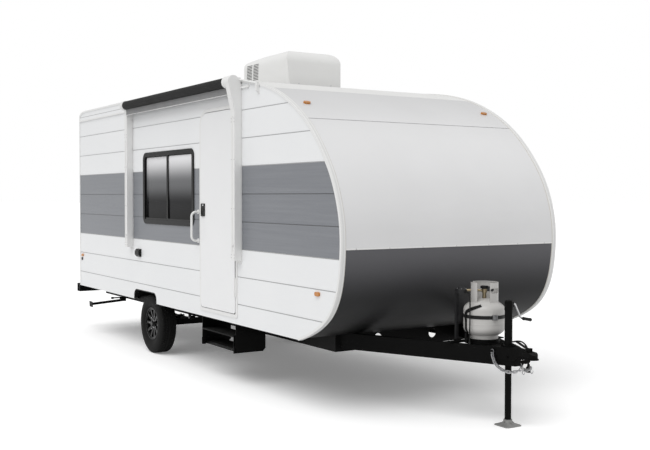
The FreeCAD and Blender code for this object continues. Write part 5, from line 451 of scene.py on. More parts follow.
SKIRT_Z, ROOF_Z, BODY_LENGTH = 555, 2705, 5980
TRIM_X, TRIM_SAMPLES, TRIM_SWEEP, TRIM_CAST = 1053, 700, (-118, 115), 4200
TRIM_FOOT_Z, TRIM_FACING = SKIRT_Z + 12, 0.15
STRIP = ((-7.5, -0.5), (-7.2, 0.7), (-4.5, 1.2), (0.0, 1.35), (4.5, 1.2), (7.2, 0.7), (7.5, -0.5))
trim_centre = np.array((0, BODY_LENGTH / 2, 1630))
sweep = np.radians(np.linspace(*TRIM_SWEEP, TRIM_SAMPLES))
ways = np.stack([0 * sweep, np.sin(sweep), np.cos(sweep)], 1)
strips = []
for side in (-1, 1):
    starts = trim_centre + (side * TRIM_X, 0, 0) + TRIM_CAST * ways
    path = [(at, away) for at, away in seats("mouldings", starts, -ways, TRIM_FACING)
            if at[2] > TRIM_FOOT_Z and np.dot(np.subtract(at, trim_centre)[1:], away[1:]) > 0]
    strips.append(carried([at for at, _ in path], [out_way for _, out_way in path], STRIP))
vinyl = finish("trim_vinyl", (0.66, 0.66, 0.655), (0.72, 0.72, 0.715), 0.48, grain=(6, 6, 6))
put("trim_strips", merged(strips), vinyl, "caravan")

BELT_Z, BELT_SCREW_X, BELT_SCREW = 1284, (-940, -640, -330, 0, 330, 640, 940), 4.4
BEFORE_NOSE = -1500
zinc = finish("zinc_plate", (0.42, 0.42, 0.43), (0.56, 0.56, 0.57), 0.34, grain=(90, 90, 90), metal=1.0)
found = seats("mouldings", [(x, BEFORE_NOSE, BELT_Z) for x in BELT_SCREW_X], (0, 1, 0))
screws = [pan_screw(at, away, BELT_SCREW) for at, away in found]
put("belt_screws", merged(screws), zinc, "caravan")


# Entry door
# Smooth white leaf in a white frame that is screwed to the wall. The black pull plate has a
# chromed key lock above its paddle.

DOOR_SCREW_Y, DOOR_SCREW_Z, DOOR_SCREW = (1649, 2403), range(700, 2400, 210), 3.6
DOOR_HEAD_Y, DOOR_HEAD_Z = (1860, 2026, 2192), 2453
BESIDE = 1200
screw_spots = [(-BESIDE, y, z) for z in DOOR_SCREW_Z for y in DOOR_SCREW_Y]
screw_spots += [(-BESIDE, y, DOOR_HEAD_Z) for y in DOOR_HEAD_Y]
screws = [pan_screw(at, (-1, 0, 0), DOOR_SCREW) for at, _ in seats("door_frame", screw_spots, (1, 0, 0))]
put("door_frame_screws", merged(screws), white_mould, "caravan")

LOCK = ((-1, 10), (1.2, 10), (2.2, 9), (2.2, 7.4), (1.4, 7.0), (1.6, 0.4))
LOCK_Y, LOCK_Z = 2312, 1586
chrome = finish("chrome", (0.55, 0.55, 0.56), (0.62, 0.62, 0.63), 0.12, grain=(50, 50, 50), metal=1.0,
                swing=0.04)
(key, _), = seats("door_latch", [(-BESIDE, LOCK_Y, LOCK_Z)], (1, 0, 0))
put("door_lock", lathe(LOCK, key, (-1, 0, 0), 28), chrome, "door")


# Windows
# Gloss black frames with rubber beads round both panes and a small pull on the sliding one.
# The glass is a deep tint, and a painted reflection of a pale sky lightens it towards its head.

frame_black = finish("window_black", (0.005, 0.005, 0.005), (0.010, 0.010, 0.010), 0.26, grain=(20, 20, 20),
                     gloss=0.12)
dress(frame_black, "window_frames")
# Painted reflection: the glass's colour goes from near black at the foot to pale at the head, standing in for
# the sky mirrored in it.
glass = falling("tinted_glass_painted_sky", ((1.40, (0.003, 0.003, 0.003)), (1.60, (0.014, 0.014, 0.015)),
                                 (1.80, (0.150, 0.152, 0.157)), (2.09, (0.86, 0.855, 0.87))), 0.12, 0.0,
                grain=(0.8, 0.8, 0.8), spread=0.03, lift=0.0001, gloss=0.04)
PANES, PANE_Z, PANE_CORNER = ((2587, 3177.5), (3195.5, 3786)), (1424, 2074), 29
PANE_THICK, PANE_ARRIS, BEAD_IN, BEAD_CORNER = 5.0, 0.8, 4, 26
PULL_Y, PULL_Z, PULL_FLAT, PULL_TALL = 3226, 1740, 0.55, 2.4
BEAD = ((-3.4, -1.0), (-3.0, 1.6), (-1.2, 3.0), (1.2, 3.0), (3.0, 1.6), (3.4, -1.0))
PULL = ((-1, 15), (3, 15), (6, 11), (6.6, 4))


def rounded(y_span, z_span, radius, x, steps=10):
    """Points round a rectangle in a plane across X: corner's centre + radius * (cos turn, sin turn)."""
    turn = np.radians(np.linspace(0, 90, steps))
    (front, back), (foot, head) = y_span, z_span
    centres = [(back - radius, head - radius, 0), (front + radius, head - radius, 90),
               (front + radius, foot + radius, 180), (back - radius, foot + radius, 270)]
    return np.concatenate([np.stack([0 * turn + x, y + radius * np.cos(turn + np.radians(first)),
                                     z + radius * np.sin(turn + np.radians(first))], 1)
                           for y, z, first in centres])


edge = ((0, PANE_ARRIS), (PANE_ARRIS, 0), (PANE_THICK - PANE_ARRIS, 0), (PANE_THICK, PANE_ARRIS))
panes, beads, pulls = [], [], []
for side in (-1, 1):
    for front, back in PANES:
        middle = (side * BESIDE, (front + back) / 2, sum(PANE_Z) / 2)
        (at, _), = seats("window_glass", [middle], (-side, 0, 0))
        rims = [rounded((front + cut, back - cut), (PANE_Z[0] + cut, PANE_Z[1] - cut), PANE_CORNER - cut,
                        at[0] - side * inward) for inward, cut in edge]
        panes.append(webbed(np.stack(rims)))
        loop = rounded((front + BEAD_IN, back - BEAD_IN), (PANE_Z[0] + BEAD_IN, PANE_Z[1] - BEAD_IN),
                       BEAD_CORNER, at[0])
        beads.append(carried(loop, [(side, 0, 0)] * len(loop), BEAD, closed=True))
    (at, _), = seats("window_glass", [(side * BESIDE, PULL_Y, PULL_Z)], (-side, 0, 0))
    points, faces = lathe(PULL, (0, 0, 0), (side, 0, 0), 24)
    pulls.append((points * (1, PULL_FLAT, PULL_TALL) + at, faces))
window_panes = put("window_panes", merged(panes), glass, "caravan", sharp=0.4)
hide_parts("window_glass")
put("pane_beads", merged(beads), rubber, "caravan")
put("pane_pulls", merged(pulls), frame_black, "caravan")


# Roof, air conditioner and vent
# A white membrane with a matt chalky surface. The hood is a moulded white shell held by screws near its foot,
# with painted shade that darkens it towards its foot, and thin black sheets set behind its louvres are painted
# shadow in the slots. A run of sealant closes the vent's foot.

membrane = finish("roof_membrane", (0.70, 0.70, 0.69), (0.78, 0.78, 0.77), 0.62, grain=(3, 3, 3),
                  lift=0.002, fine=(9, 9, 9), weight=0.3)
dress(membrane, "roof")
# Painted shade: the hood's and the vent's white darkens from the top down to the foot at the roof.
hood_white_painted_shade = falling("hood_shell_painted_shade", ((2.70, (0.68, 0.68, 0.67)), (2.85, (0.74, 0.74, 0.73)),
                                     (3.06, (0.77, 0.77, 0.76))), 0.34, 0.15,
                      lift=0.0006, fine=(40, 40, 40))
dress(hood_white_painted_shade, "air_conditioner", "roof_vent")
lid_plastic = finish("vent_lid_plastic", (0.62, 0.62, 0.60), (0.70, 0.70, 0.68), 0.30, grain=(6, 6, 6),
                     coat=0.2)
dress(lid_plastic, "vent_lid")
HOOD_SCREW_Z, HOOD_SCREW_Y, HOOD_SCREW_X, HOOD_SCREW = ROOF_Z + 34, (2240, 2560, 2890), (-180, 180), 5.5
BESIDE_HOOD, BEFORE_HOOD = 900, 1500
found = [hit for side in (-1, 1) for hit in seats(
    "air_conditioner", [(side * BESIDE_HOOD, y, HOOD_SCREW_Z) for y in HOOD_SCREW_Y], (-side, 0, 0))]
found += seats("air_conditioner", [(x, BEFORE_HOOD, HOOD_SCREW_Z) for x in HOOD_SCREW_X], (0, 1, 0))
screws = [pan_screw(at, away, HOOD_SCREW) for at, away in found]
put("hood_screws", merged(screws), zinc, "caravan")

# Painted shadow: thin black sheets stand just behind each louvre slot, where there is only shade.
LOUVRE_Y, LOUVRE_WIDTH, LOUVRE_Z, LOUVRE_HEIGHT = (2690, 2826), 112, range(2827, 2992, 15), 8
HOOD_HALF, HOOD_LEAN, HOOD_HEIGHT, SHADE_SHEET_BACK, SHADE_SHEET_THICK = 310, 10, 355, 5, 2
shade_sheets = []
for side in (-1, 1):
    for y in LOUVRE_Y:
        for z in LOUVRE_Z:
            face_x = HOOD_HALF - HOOD_LEAN * (z - ROOF_Z) / HOOD_HEIGHT - SHADE_SHEET_BACK
            rims = [rounded((y, y + LOUVRE_WIDTH), (z, z + LOUVRE_HEIGHT), 1.0, side * (face_x - back), 3)
                    for back in (0, SHADE_SHEET_THICK)]
            shade_sheets.append(webbed(np.stack(rims)))
put("louvre_shade_sheets", merged(shade_sheets), black_plastic, "caravan")

SEALANT = ((-1.0, -0.5), (-0.9, 0.5), (-0.4, 1.0), (0.4, 1.0), (0.9, 0.5), (1.0, -0.5))
VENT_Y, VENT_HALF, VENT_CORNER, SEALANT_SIZE = 4700, 190, 34, (13, 3.5)


def sealant_run():
    """Flattened run of sealant round the vent; its section swells by two sines of the count along it."""
    loop = rounded((-VENT_HALF, VENT_HALF), (VENT_Y - VENT_HALF, VENT_Y + VENT_HALF), VENT_CORNER, 0, 24)
    loop = loop[:, [1, 2, 0]] + (0, 0, ROOF_Z)
    count = np.arange(len(loop))
    swell = 1 + 0.10 * np.sin(count * 0.9) + 0.06 * np.sin(count * 2.3 + 1)
    points, faces = carried(loop, [(0, 0, 1)] * len(loop), np.array(SEALANT) * SEALANT_SIZE, closed=True)
    rows = points.reshape(len(loop), -1, 3)
    grown = loop[:, None] + (rows - loop[:, None]) * swell[:, None, None]
    return grown.reshape(-1, 3), faces


sealant = finish("lap_sealant", (0.60, 0.60, 0.59), (0.70, 0.70, 0.69), 0.45, grain=(14, 14, 14),
                 lift=0.001, fine=(90, 90, 90))
put("roof_sealant", sealant_run(), sealant, "caravan")


# Awning
# Black fabric rolled on its tube, with a soft grey flap hanging from it in slight waves over
# a thin hem rod. The arms are white channels with riveted plates and a friction knob.

ROLLER_X, ROLLER_Z, ROLL_Y = -1146, 2642, (1692, 4134)
SPOOL_RADIUS, WRAP_STEP = 44.2, 1.4
FLAP_X, FLAP_Z = ROLLER_X + 2, (2534, 2642)


def weave(name, colour, other, rough, scale):
    """Woven cloth: two fine crossed waves raise the threads, and a soft noise moves the tone."""
    material, add = new_tree(name)
    coords = add("TexCoord")
    patches = add("TexNoise", [("Vector", coords.outputs["Object"])], Scale=5.0, Detail=4.0)
    tone = blend(add, patches.outputs[0], colour, other)
    along = add("TexWave", [("Vector", coords.outputs["Object"])], Scale=scale, bands_direction="Y")
    down = add("TexWave", [("Vector", coords.outputs["Object"])], Scale=scale, bands_direction="Z")
    threads = add("Math", [(0, along.outputs["Fac"]), (1, down.outputs["Fac"])], operation="MULTIPLY")
    relief = add("Bump", [("Height", threads.outputs[0])], Strength=0.4, Distance=0.0005)
    skin = add("BsdfPrincipled", [("Base Color", tone), ("Normal", relief.outputs[0])],
               Roughness=rough, **{"Specular IOR Level": 0.15})
    add("OutputMaterial", [("Surface", skin.outputs[0])])
    return material


def rolled_cloth(across=72, lengths=150):
    """Spiral section along Y: radius = spool + step * turn's share + two ripples that fade at the ends."""
    share = np.linspace(0, 1, lengths)[:, None]
    turn = np.linspace(0, 2 * np.pi, across, endpoint=False)[None, :]
    ripple = 0.35 * np.sin(9 * np.pi * share + turn) + 0.25 * np.sin(23 * share + 3 * turn)
    radius = SPOOL_RADIUS + WRAP_STEP * turn / (2 * np.pi) + ripple * np.sin(np.pi * share)
    y = ROLL_Y[0] + (ROLL_Y[1] - ROLL_Y[0]) * share + 0 * turn
    return webbed(np.stack([ROLLER_X + radius * np.cos(turn), y, ROLLER_Z + radius * np.sin(turn)], -1))


def hanging_flap(down_steps=16, lengths=220):
    """Sheet under the roll: x moves by two sines of the length, times the drop's share squared."""
    share = np.linspace(0, 1, lengths)[:, None]
    down = np.linspace(0, 1, down_steps)[None, :]
    wave = (1.9 * np.sin(41 * share) + 1.1 * np.sin(97 * share + 1.3)) * down ** 2
    y = ROLL_Y[0] + (ROLL_Y[1] - ROLL_Y[0]) * share + 0 * down
    z = FLAP_Z[1] + (FLAP_Z[0] - FLAP_Z[1]) * down + 0 * share
    return webbed(np.stack([FLAP_X + wave, y, z], -1), around=False, capped=False)


THREADS = 300.0
cloth_black = weave("awning_cloth", (0.010, 0.010, 0.010), (0.026, 0.026, 0.026), 0.66, THREADS)
cloth_grey = weave("flap_cloth", (0.21, 0.21, 0.212), (0.28, 0.28, 0.283), 0.70, THREADS)
roll = put("awning_roll", rolled_cloth(), cloth_black, "caravan", sharp=0.5)
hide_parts("awning_roller")
FRONT_CAP = ((0, 44), (0, 49), (3, 51.2), (60, 51.2), (64, 49), (66, 45))
cap_at = (ROLLER_X, ROLL_Y[0] - FRONT_CAP[-1][0], ROLLER_Z)
front_cap = put("roller_front_cap", lathe(FRONT_CAP, cap_at, (0, 1, 0), 48), white_mould, "caravan")
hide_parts("awning_roller")
HEM_ROD, HEM_UP = ((0, 1.5), (1, 3.2), (8, 3.4), (2434, 3.4), (2441, 3.2), (2442, 1.5)), 3
rod = lathe(HEM_ROD, (FLAP_X, ROLL_Y[0], FLAP_Z[0] + HEM_UP), (0, 1, 0), 16)
hem = put("awning_hem_rod", rod, vinyl, "caravan")
flap = put("awning_flap", hanging_flap(), cloth_grey, "caravan", sharp=3.0)
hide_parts("awning_roller")
END_CAP = ((0, 44), (0, 49), (3, 51.2), (65, 51.2), (69, 49), (70, 44), (67, 38), (67, 16), (70, 13), (70, 3))
end_form = lathe(END_CAP, (ROLLER_X, ROLL_Y[1], ROLLER_Z), (0, 1, 0), 48)
end_cap = put("roller_end_cap", end_form, white_mould, "caravan")
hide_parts("awning_roller")

KNOB = ((-1, 13), (4, 13), (9, 11), (11, 7), (9.5, 2.5))
ARM_Y, RIVET_Z, RIVET_ACROSS, RIVET = (1591, 4169), (1140, 1165, 1560, 1980, 2300, 2330), 26, 4.4
KNOB_Z, BESIDE_ARMS = 1250, -1300
arm_spots = [(BESIDE_ARMS, y + across, z) for y in ARM_Y for z in RIVET_Z
             for across in (-RIVET_ACROSS, RIVET_ACROSS)]
rivets = [pan_screw(at, (-1, 0, 0), RIVET) for at, _ in seats("awning_arms", arm_spots, (1, 0, 0))]
found = seats("awning_arms", [(BESIDE_ARMS, y, KNOB_Z) for y in ARM_Y], (1, 0, 0))
knobs = [lathe(KNOB, at, (-1, 0, 0), 30) for at, _ in found]
put("arm_rivets", merged(rivets), zinc, "caravan")
put("arm_knobs", merged(knobs), vinyl, "caravan")


# Lamps
# Moulded lenses: amber markers on the nose and sides, and red tail lamps whose inner face is
# pressed into small prisms.

def lens(name, colour, deep, scale):
    """Glossy coloured plastic; fine cells under the surface move the colour and raise small prisms."""
    material, add = new_tree(name)
    coords = add("TexCoord")
    cells = add("TexVoronoi", [("Vector", coords.outputs["Object"])], Scale=scale)
    tone = blend(add, cells.outputs["Distance"], colour, deep)
    relief = add("Bump", [("Height", cells.outputs["Distance"])], Strength=0.25, Distance=0.0008)
    skin = add("BsdfPrincipled", [("Base Color", tone), ("Normal", relief.outputs[0])],
               Roughness=0.16, **{"Coat Weight": 0.5})
    add("OutputMaterial", [("Surface", skin.outputs[0])])
    return material


dress(lens("amber_lens", (0.62, 0.24, 0.012), (0.40, 0.12, 0.004), 160.0), "marker_lamps")
red_lens = lens("red_lens", (0.42, 0.012, 0.012), (0.22, 0.003, 0.003), 120.0)
dress(red_lens, "tail_lamps")


# Rear fittings
# Small red clearance lamps stand along the head of the rear wall, and a blank plate is held by
# four screws under its own shaded lamp. Both are as usual on such caravans.

REAR_LAMPS = ((-930, 2600), (-95, 2620), (0, 2620), (95, 2620), (930, 2600))
LAMP_HALF_X, LAMP_HALF_Z = 31, 12
PLATE_SCREW, PLATE_SCREW_X, PLATE_SCREW_Z = ((0, 6), (2.4, 6), (3.4, 4.4), (3.6, 1)), (-490, -250), (725, 826)
SUNK, PLATE_PROUD, PLATE_FACE = 1, 5, 4.6


def rear_slab(x_span, z_span, proud, radius, chamfer):
    """Rounded slab that stands out of the rear wall, its face drawn in by a chamfer."""
    (left, right), (foot, head) = x_span, z_span
    rims = [rounded((left + cut, right - cut), (foot + cut, head - cut), radius - cut,
                    BODY_LENGTH - SUNK + out, 5)[:, [1, 0, 2]]
            for out, cut in ((0, 0), (SUNK + proud - chamfer, 0), (SUNK + proud, chamfer))]
    return webbed(np.stack(rims))


rear_lamps = [rear_slab((x - LAMP_HALF_X, x + LAMP_HALF_X), (z - LAMP_HALF_Z, z + LAMP_HALF_Z), 13, 8, 4)
              for x, z in REAR_LAMPS]
put("rear_clearance_lamps", merged(rear_lamps), red_lens, "caravan")
plate = [rear_slab((-520, -220), (700, 850), PLATE_PROUD, 12, 1), rear_slab((-400, -340), (852, 872), 22, 8, 5)]
plate += [lathe(PLATE_SCREW, (x, BODY_LENGTH + PLATE_FACE, z), (0, 1, 0), 14)
          for x in PLATE_SCREW_X for z in PLATE_SCREW_Z]
put("plate_holder", merged(plate), black_plastic, "caravan")


# Underbody
# Black woven underlay closes the timber floor from below, moulded liners fill the wheel arches,
# and the rails, members, springs and steps are painted satin black. Bolts go through the
# springs' eyes, and a black rubber edging is pushed on the walls round the arches.

FLOOR_EDGE, PAINT_STEP = 0.628, 0.002
board = falling("floor_board", ((0.57, (0.008, 0.008, 0.008)), (FLOOR_EDGE, (0.010, 0.010, 0.010)),
                                (FLOOR_EDGE + PAINT_STEP, (0.20, 0.13, 0.075)), (0.64, (0.22, 0.14, 0.080))),
                0.62, 0.0, grain=(3, 3, 3), lift=0.0012, fine=(45, 45, 45), gloss=0.2)
dress(board, "floor")
liner = finish("well_liner", (0.004, 0.004, 0.004), (0.010, 0.010, 0.010), 0.70, lift=0.0012,
               fine=(70, 70, 70), gloss=0.1)
dress(liner, "wheel_wells")
chassis = finish("chassis_paint", (0.0020, 0.0020, 0.0020), (0.0050, 0.0050, 0.0048), 0.42,
                 grain=(12, 12, 12), lift=0.0005, fine=(120, 120, 120), swing=0.16, gloss=0.06)
dress(chassis, "main_rails", "cross_members", "front_cross_plate", "tongue_rail_door_side",
      "tongue_rail_far_side", "gas_tray", "coupler", "jack_tube", "jack_leg", "axle_beam", "leaf_springs",
      "frame_brackets", "rear_bumper", "step_frame", "step_carriage", "step_tread", "stab_leg_door_side",
      "stab_leg_far_side")

AXLE_Y, SPRING_EYE_Y, SPRING_EYE_Z, BESIDE_SPRINGS = 3805, 320, 393, 900


def bolted(node, spots, across, height):
    """Bolts where level rays from both sides meet a node; spots are (x, y, z) beyond its near side."""
    return [hex_bolt(at, (side, 0, 0), across, height) for side in (-1, 1)
            for at, _ in seats(node, [(-side * x, y, z) for x, y, z in spots], (-side, 0, 0))]


eyes = [(-BESIDE_SPRINGS, AXLE_Y + end * SPRING_EYE_Y, SPRING_EYE_Z) for end in (-1, 1)]
put("spring_bolts", merged(bolted("frame_brackets", eyes, 19, 10)), zinc, "caravan")

ARCH_Y, ARCH_Z, ARCH_LEG_Z, ARCH_RADIUS, ARCH_X = (3495, 4115), (556, 658), (556, 572), 70, -1047
EDGING = ((-20, -0.2), (-20, 1.4), (21.6, 1.4), (21.6, -7.0), (20.2, -7.0), (20.2, -0.2))
turn = np.radians(np.linspace(0, 90, 16))
bend = np.stack([ARCH_Y[0] + ARCH_RADIUS * (1 - np.cos(turn)),
                 ARCH_Z[1] - ARCH_RADIUS * (1 - np.sin(turn))], 1)
half = np.concatenate([[(ARCH_Y[0], z) for z in ARCH_LEG_Z], bend])
half_out = np.concatenate([[(1, 0)] * len(ARCH_LEG_Z), np.stack([np.cos(turn), -np.sin(turn)], 1)])
whole = np.concatenate([half, (half * (-1, 1) + (sum(ARCH_Y), 0))[::-1]])
whole_out = np.concatenate([half_out, (half_out * (-1, 1))[::-1]])
points, faces = carried(np.insert(whole, 0, ARCH_X, axis=1), np.insert(whole_out, 0, 0.0, axis=1), EDGING)
both_arches = merged([(points, faces), (points * (-1, 1, 1), faces)])
put("arch_edging", both_arches, black_plastic, "caravan")


# Coupler, chains and jack
# A pressed coupler bolted between the tongue rails, with two zinc-plated safety chains that
# end in hooks. The jack is black with a plated crank, a black grip and a cast foot.

CHAIN_END = ((-40, -776, 452), (40, -776, 452))


def parted(name, one, two, axis, level, about=None):
    """Two finishes on one piece: the second lies past a level on an axis, or farther than that from about.

    Each is (colour, other colour, roughness, metal, gloss), with a fine noise between its colours.
    Distance from about = length of (place - about) with its height taken as none.
    """
    material, add = new_tree(name)
    coords = add("TexCoord")
    if about is None:
        axes = add("SeparateXYZ", [("Vector", coords.outputs["Object"])])
        reading = axes.outputs[axis]
    else:
        away = add("VectorMath", [(0, coords.outputs["Object"])], operation="SUBTRACT")
        away.inputs[1].default_value = about
        flat = add("VectorMath", [(0, away.outputs[0])], operation="MULTIPLY")
        flat.inputs[1].default_value = (1, 1, 0)
        reading = add("VectorMath", [(0, flat.outputs[0])], operation="LENGTH").outputs["Value"]
    past = add("Math", [(0, reading)], operation="GREATER_THAN")
    past.inputs[1].default_value = level
    patches = add("TexNoise", [("Vector", coords.outputs["Object"])], Scale=90.0, Detail=3.0)
    skins = []
    for colour, other, rough, metal, gloss in (one, two):
        tone = blend(add, patches.outputs[0], colour, other)
        skins.append(add("BsdfPrincipled", [("Base Color", tone)], Roughness=rough, Metallic=metal,
                         **{"Specular IOR Level": gloss}))
    both = add("MixShader", [("Fac", past.outputs[0]), (1, skins[0].outputs[0]), (2, skins[1].outputs[0])])
    add("OutputMaterial", [("Surface", both.outputs[0])])
    return material


def through(spots, count):
    """Smooth curve through the spots: half of the cubic in the share t between each spot's neighbours."""
    spots = np.array(spots, float)
    ends = np.vstack([2 * spots[0] - spots[1], spots, 2 * spots[-1] - spots[-2]])
    at = np.linspace(0, len(spots) - 1 - 1e-9, count)
    i, t = at.astype(int), (at % 1)[:, None]
    a, b, c, d = ends[i], ends[i + 1], ends[i + 2], ends[i + 3]
    return 0.5 * (2 * b + (c - a) * t + (2 * a - 5 * b + 4 * c - d) * t ** 2
                  + (3 * b - a - 3 * c + d) * t ** 3)


ZINC_LOOK = ((0.52, 0.52, 0.53), (0.68, 0.68, 0.69), 0.34, 1.0, 0.5)
BLACK_LOOK = ((0.005, 0.005, 0.005), (0.011, 0.011, 0.011), 0.45, 0.0, 0.2)
dress(zinc, "safety_chains")
HOOK = ((0, 0, 4), (0, -7, 0), (0, -9, -10), (0, -4, -20), (0, 2, -28), (0, -2, -40), (0, -12, -44),
        (0, -21, -38), (0, -23, -27), (0, -20, -18))
HOOK_RADIUS, HOOK_TAPER, HOOK_RINGS = 3.8, 0.55, 60


def hook_form(end):
    """Round wire along the hook: point = curve + radius * (x * cos turn + up * sin turn).

    Radius = full radius * (1 - taper * the fourth power of the share of the length).
    """
    bend = through(HOOK, HOOK_RINGS) + end
    thick = HOOK_RADIUS * (1 - HOOK_TAPER * np.linspace(0, 1, HOOK_RINGS) ** 4)
    ring = np.linspace(0, 2 * np.pi, 10, endpoint=False)[None, :, None]
    ahead = np.gradient(bend, axis=0)
    ahead /= np.linalg.norm(ahead, axis=1)[:, None]
    side = np.array((1.0, 0, 0))
    up = np.cross(ahead, side)[:, None]
    return webbed(bend[:, None] + thick[:, None, None] * (np.cos(ring) * side + np.sin(ring) * up))


hooks = merged([hook_form(end) for end in CHAIN_END])
put("chain_hooks", hooks, zinc, "caravan")

COUPLER_BOLTS = ((-200, -560, 512), (-200, -640, 512))
FLANGE_TOP_Z, FLANGE_RADIUS, FLANGE_TURNS = 591.3, 44, (0.35, 2.44, 4.54)
bolts = bolted("coupler", COUPLER_BOLTS, 17, 8)
bolts += [hex_bolt((FLANGE_RADIUS * math.cos(turn), JACK_Y + FLANGE_RADIUS * math.sin(turn), FLANGE_TOP_Z),
                   (0, 0, 1), 13, 7) for turn in FLANGE_TURNS]
put("coupler_bolts", merged(bolts), chassis, "caravan")

GRIP_FROM = 0.1215
dress(parted("crank_finish", ZINC_LOOK, BLACK_LOOK, "X", MIDDLE_X + GRIP_FROM), "jack_crank")
iron = finish("foot_iron", (0.24, 0.24, 0.235), (0.38, 0.38, 0.37), 0.55, grain=(30, 30, 30), metal=0.5,
              lift=0.0010, fine=(90, 90, 90))
dress(iron, "jack_foot")


# Gas bottle, valve and regulator
# A welded steel bottle in grey-white paint stands in a hoop on the tongue's tray, under a strap
# with a plated buckle and a webbing that holds it down. Its brass valve has a dark hand wheel.

BOTTLE_X, BOTTLE_Y, BOTTLE_RADIUS = 0, -325, 155
bottle_paint = finish("bottle_paint", (0.45, 0.44, 0.425), (0.51, 0.50, 0.485), 0.34, grain=(6, 6, 6),
                      lift=0.0006, fine=(60, 60, 60), weight=0.3)
dress(bottle_paint, "gas_bottle")
BUCKLE_FROM, HAND_WHEEL_FROM = 0.1592, 0.976
dress(parted("strap_and_buckle", BLACK_LOOK, ZINC_LOOK, "Z", BUCKLE_FROM,
             about=tuple(place(BOTTLE_X, BOTTLE_Y, 0))), "gas_strap")
BRASS_LOOK = ((0.26, 0.21, 0.13), (0.36, 0.30, 0.20), 0.42, 1.0, 0.5)
dress(parted("valve_and_wheel", BRASS_LOOK, BLACK_LOOK, "Z", HAND_WHEEL_FROM), "gas_valve")
regulator = finish("regulator_case", (0.010, 0.010, 0.011), (0.024, 0.024, 0.025), 0.45, grain=(40, 40, 40),
                   lift=0.0004, gloss=0.25)
dress(regulator, "gas_regulator", "cord_glands")
WELD, WELD_Z = ((-3.5, -0.5), (-2.0, 0.8), (0.0, 1.1), (2.0, 0.8), (3.5, -0.5)), 722
turn = np.linspace(0, 2 * np.pi, 96, endpoint=False)
outward = np.stack([np.cos(turn), np.sin(turn), 0 * turn], 1)
ring = (BOTTLE_X, BOTTLE_Y, WELD_Z) + BOTTLE_RADIUS * outward
put("bottle_weld", carried(ring, outward, WELD, closed=True), bottle_paint, "caravan")
HOOP, HOOP_Z = ((-1, 109), (22, 109), (25, 112), (26, 116), (24, 118), (2, 118), (0, 150), (-1, 150)), 583
hoop = lathe(HOOP, (BOTTLE_X, BOTTLE_Y, HOOP_Z), (0, 0, 1), 72)
put("bottle_cradle", hoop, chassis, "caravan")

HOLD_TURN, HOLD_CLIMB, HOLD_Z, HOLD_FREE, HOLD_STEPS = (170.0, 219.0), (800, 862), (584, 652, 862), 6, 60
HOLD_OFF, OVER_STRAP, STRAP_Z, STRAP_SPREAD, HOLD_CAST = 1.0, 4.2, 777, 26, 400
FLAT_STRAP = ((-13, 0), (-13, 2.2), (13, 2.2), (13, 0))


def hold_down():
    """Flat webbing from the tray up the bottle's side and over its dome, lifted where the strap passes under.

    Its turn round the bottle grows with the power 1.5 of the share of its climb, it lies where level
    rays meet the bottle, and it stands off by 1 + 4.2 * exp(-((height - strap's) / spread) squared).
    """
    heights = np.concatenate([np.linspace(HOLD_Z[0], HOLD_Z[1], HOLD_FREE),
                              np.linspace(HOLD_Z[1] + 4, HOLD_Z[2], HOLD_STEPS)])
    climb = np.clip((heights - HOLD_CLIMB[0]) / (HOLD_CLIMB[1] - HOLD_CLIMB[0]), 0, 1) ** 1.5
    turn = np.radians(HOLD_TURN[0] + (HOLD_TURN[1] - HOLD_TURN[0]) * climb)
    ways = np.stack([np.cos(turn), np.sin(turn), 0 * turn], 1)
    axis_line = np.stack([0 * heights + BOTTLE_X, 0 * heights + BOTTLE_Y, heights], 1)
    dome = seats("gas_bottle", (axis_line + HOLD_CAST * ways)[HOLD_FREE:], -ways[HOLD_FREE:])
    path = np.concatenate([(axis_line + (BOTTLE_RADIUS + 1) * ways)[:HOLD_FREE], [at for at, _ in dome]])
    outs = np.concatenate([ways[:HOLD_FREE], [away for _, away in dome]])
    off = HOLD_OFF + OVER_STRAP * np.exp(-((path[:, 2] - STRAP_Z) / STRAP_SPREAD) ** 2)
    return carried(path + outs * off[:, None], outs, FLAT_STRAP)


webbing = weave("strap_webbing", (0.004, 0.004, 0.004), (0.011, 0.011, 0.011), 0.7, 900.0)
put("bottle_hold_down", hold_down(), webbing, "caravan", sharp=0.5)

REGULATOR_X, REGULATOR_Y, LID_CIRCLE, LID_TURNS, LID_SCREW = -128, -216, 32, (0.8, 2.37, 3.94, 5.51), 3.2
OVER_REGULATOR = 1100
spots = [(REGULATOR_X + LID_CIRCLE * math.cos(turn), REGULATOR_Y + LID_CIRCLE * math.sin(turn), OVER_REGULATOR)
         for turn in LID_TURNS]
screws = [pan_screw(at, (0, 0, 1), LID_SCREW) for at, _ in seats("gas_regulator", spots, (0, 0, -1))]
put("regulator_screws", merged(screws), zinc, "caravan")


# Entry step
# Two pressed steel treads, folded one over the other. Rubber ribs are glued along the flat of
# each one's upper face, and a rib is left out where that face isn't level from end to end.

GRIP = ((-2.2, -0.4), (-1.6, 1.2), (0.0, 1.7), (1.6, 1.2), (2.2, -0.4))
GRIP_Y, LEVEL_WITHIN = (1762, 2057, 2352), 0.5
for name, node, body, grip_x, over in (
        ("upper_step_grip", "step_carriage", "step_upper", range(-1000, -845, 17), 400),
        ("lower_step_grip", "step_tread", "step_lower", range(-1045, -880, 17), 600)):
    ribs = []
    for x in grip_x:
        path = [at for at, _ in seats(node, [(x, y, over) for y in GRIP_Y], (0, 0, -1))]
        if len(path) == len(GRIP_Y) and max(abs(at[2] - path[0][2]) for at in path) < LEVEL_WITHIN:
            ribs.append(carried(path, [(0, 0, 1)] * len(path), GRIP))
    put(name, merged(ribs), rubber, body)


# Tyres and wheels
# Radial trailer tyres with four grooves, cross-cut ribs and lugs on their shoulders, on black
# spoked wheels held by five plated nuts.

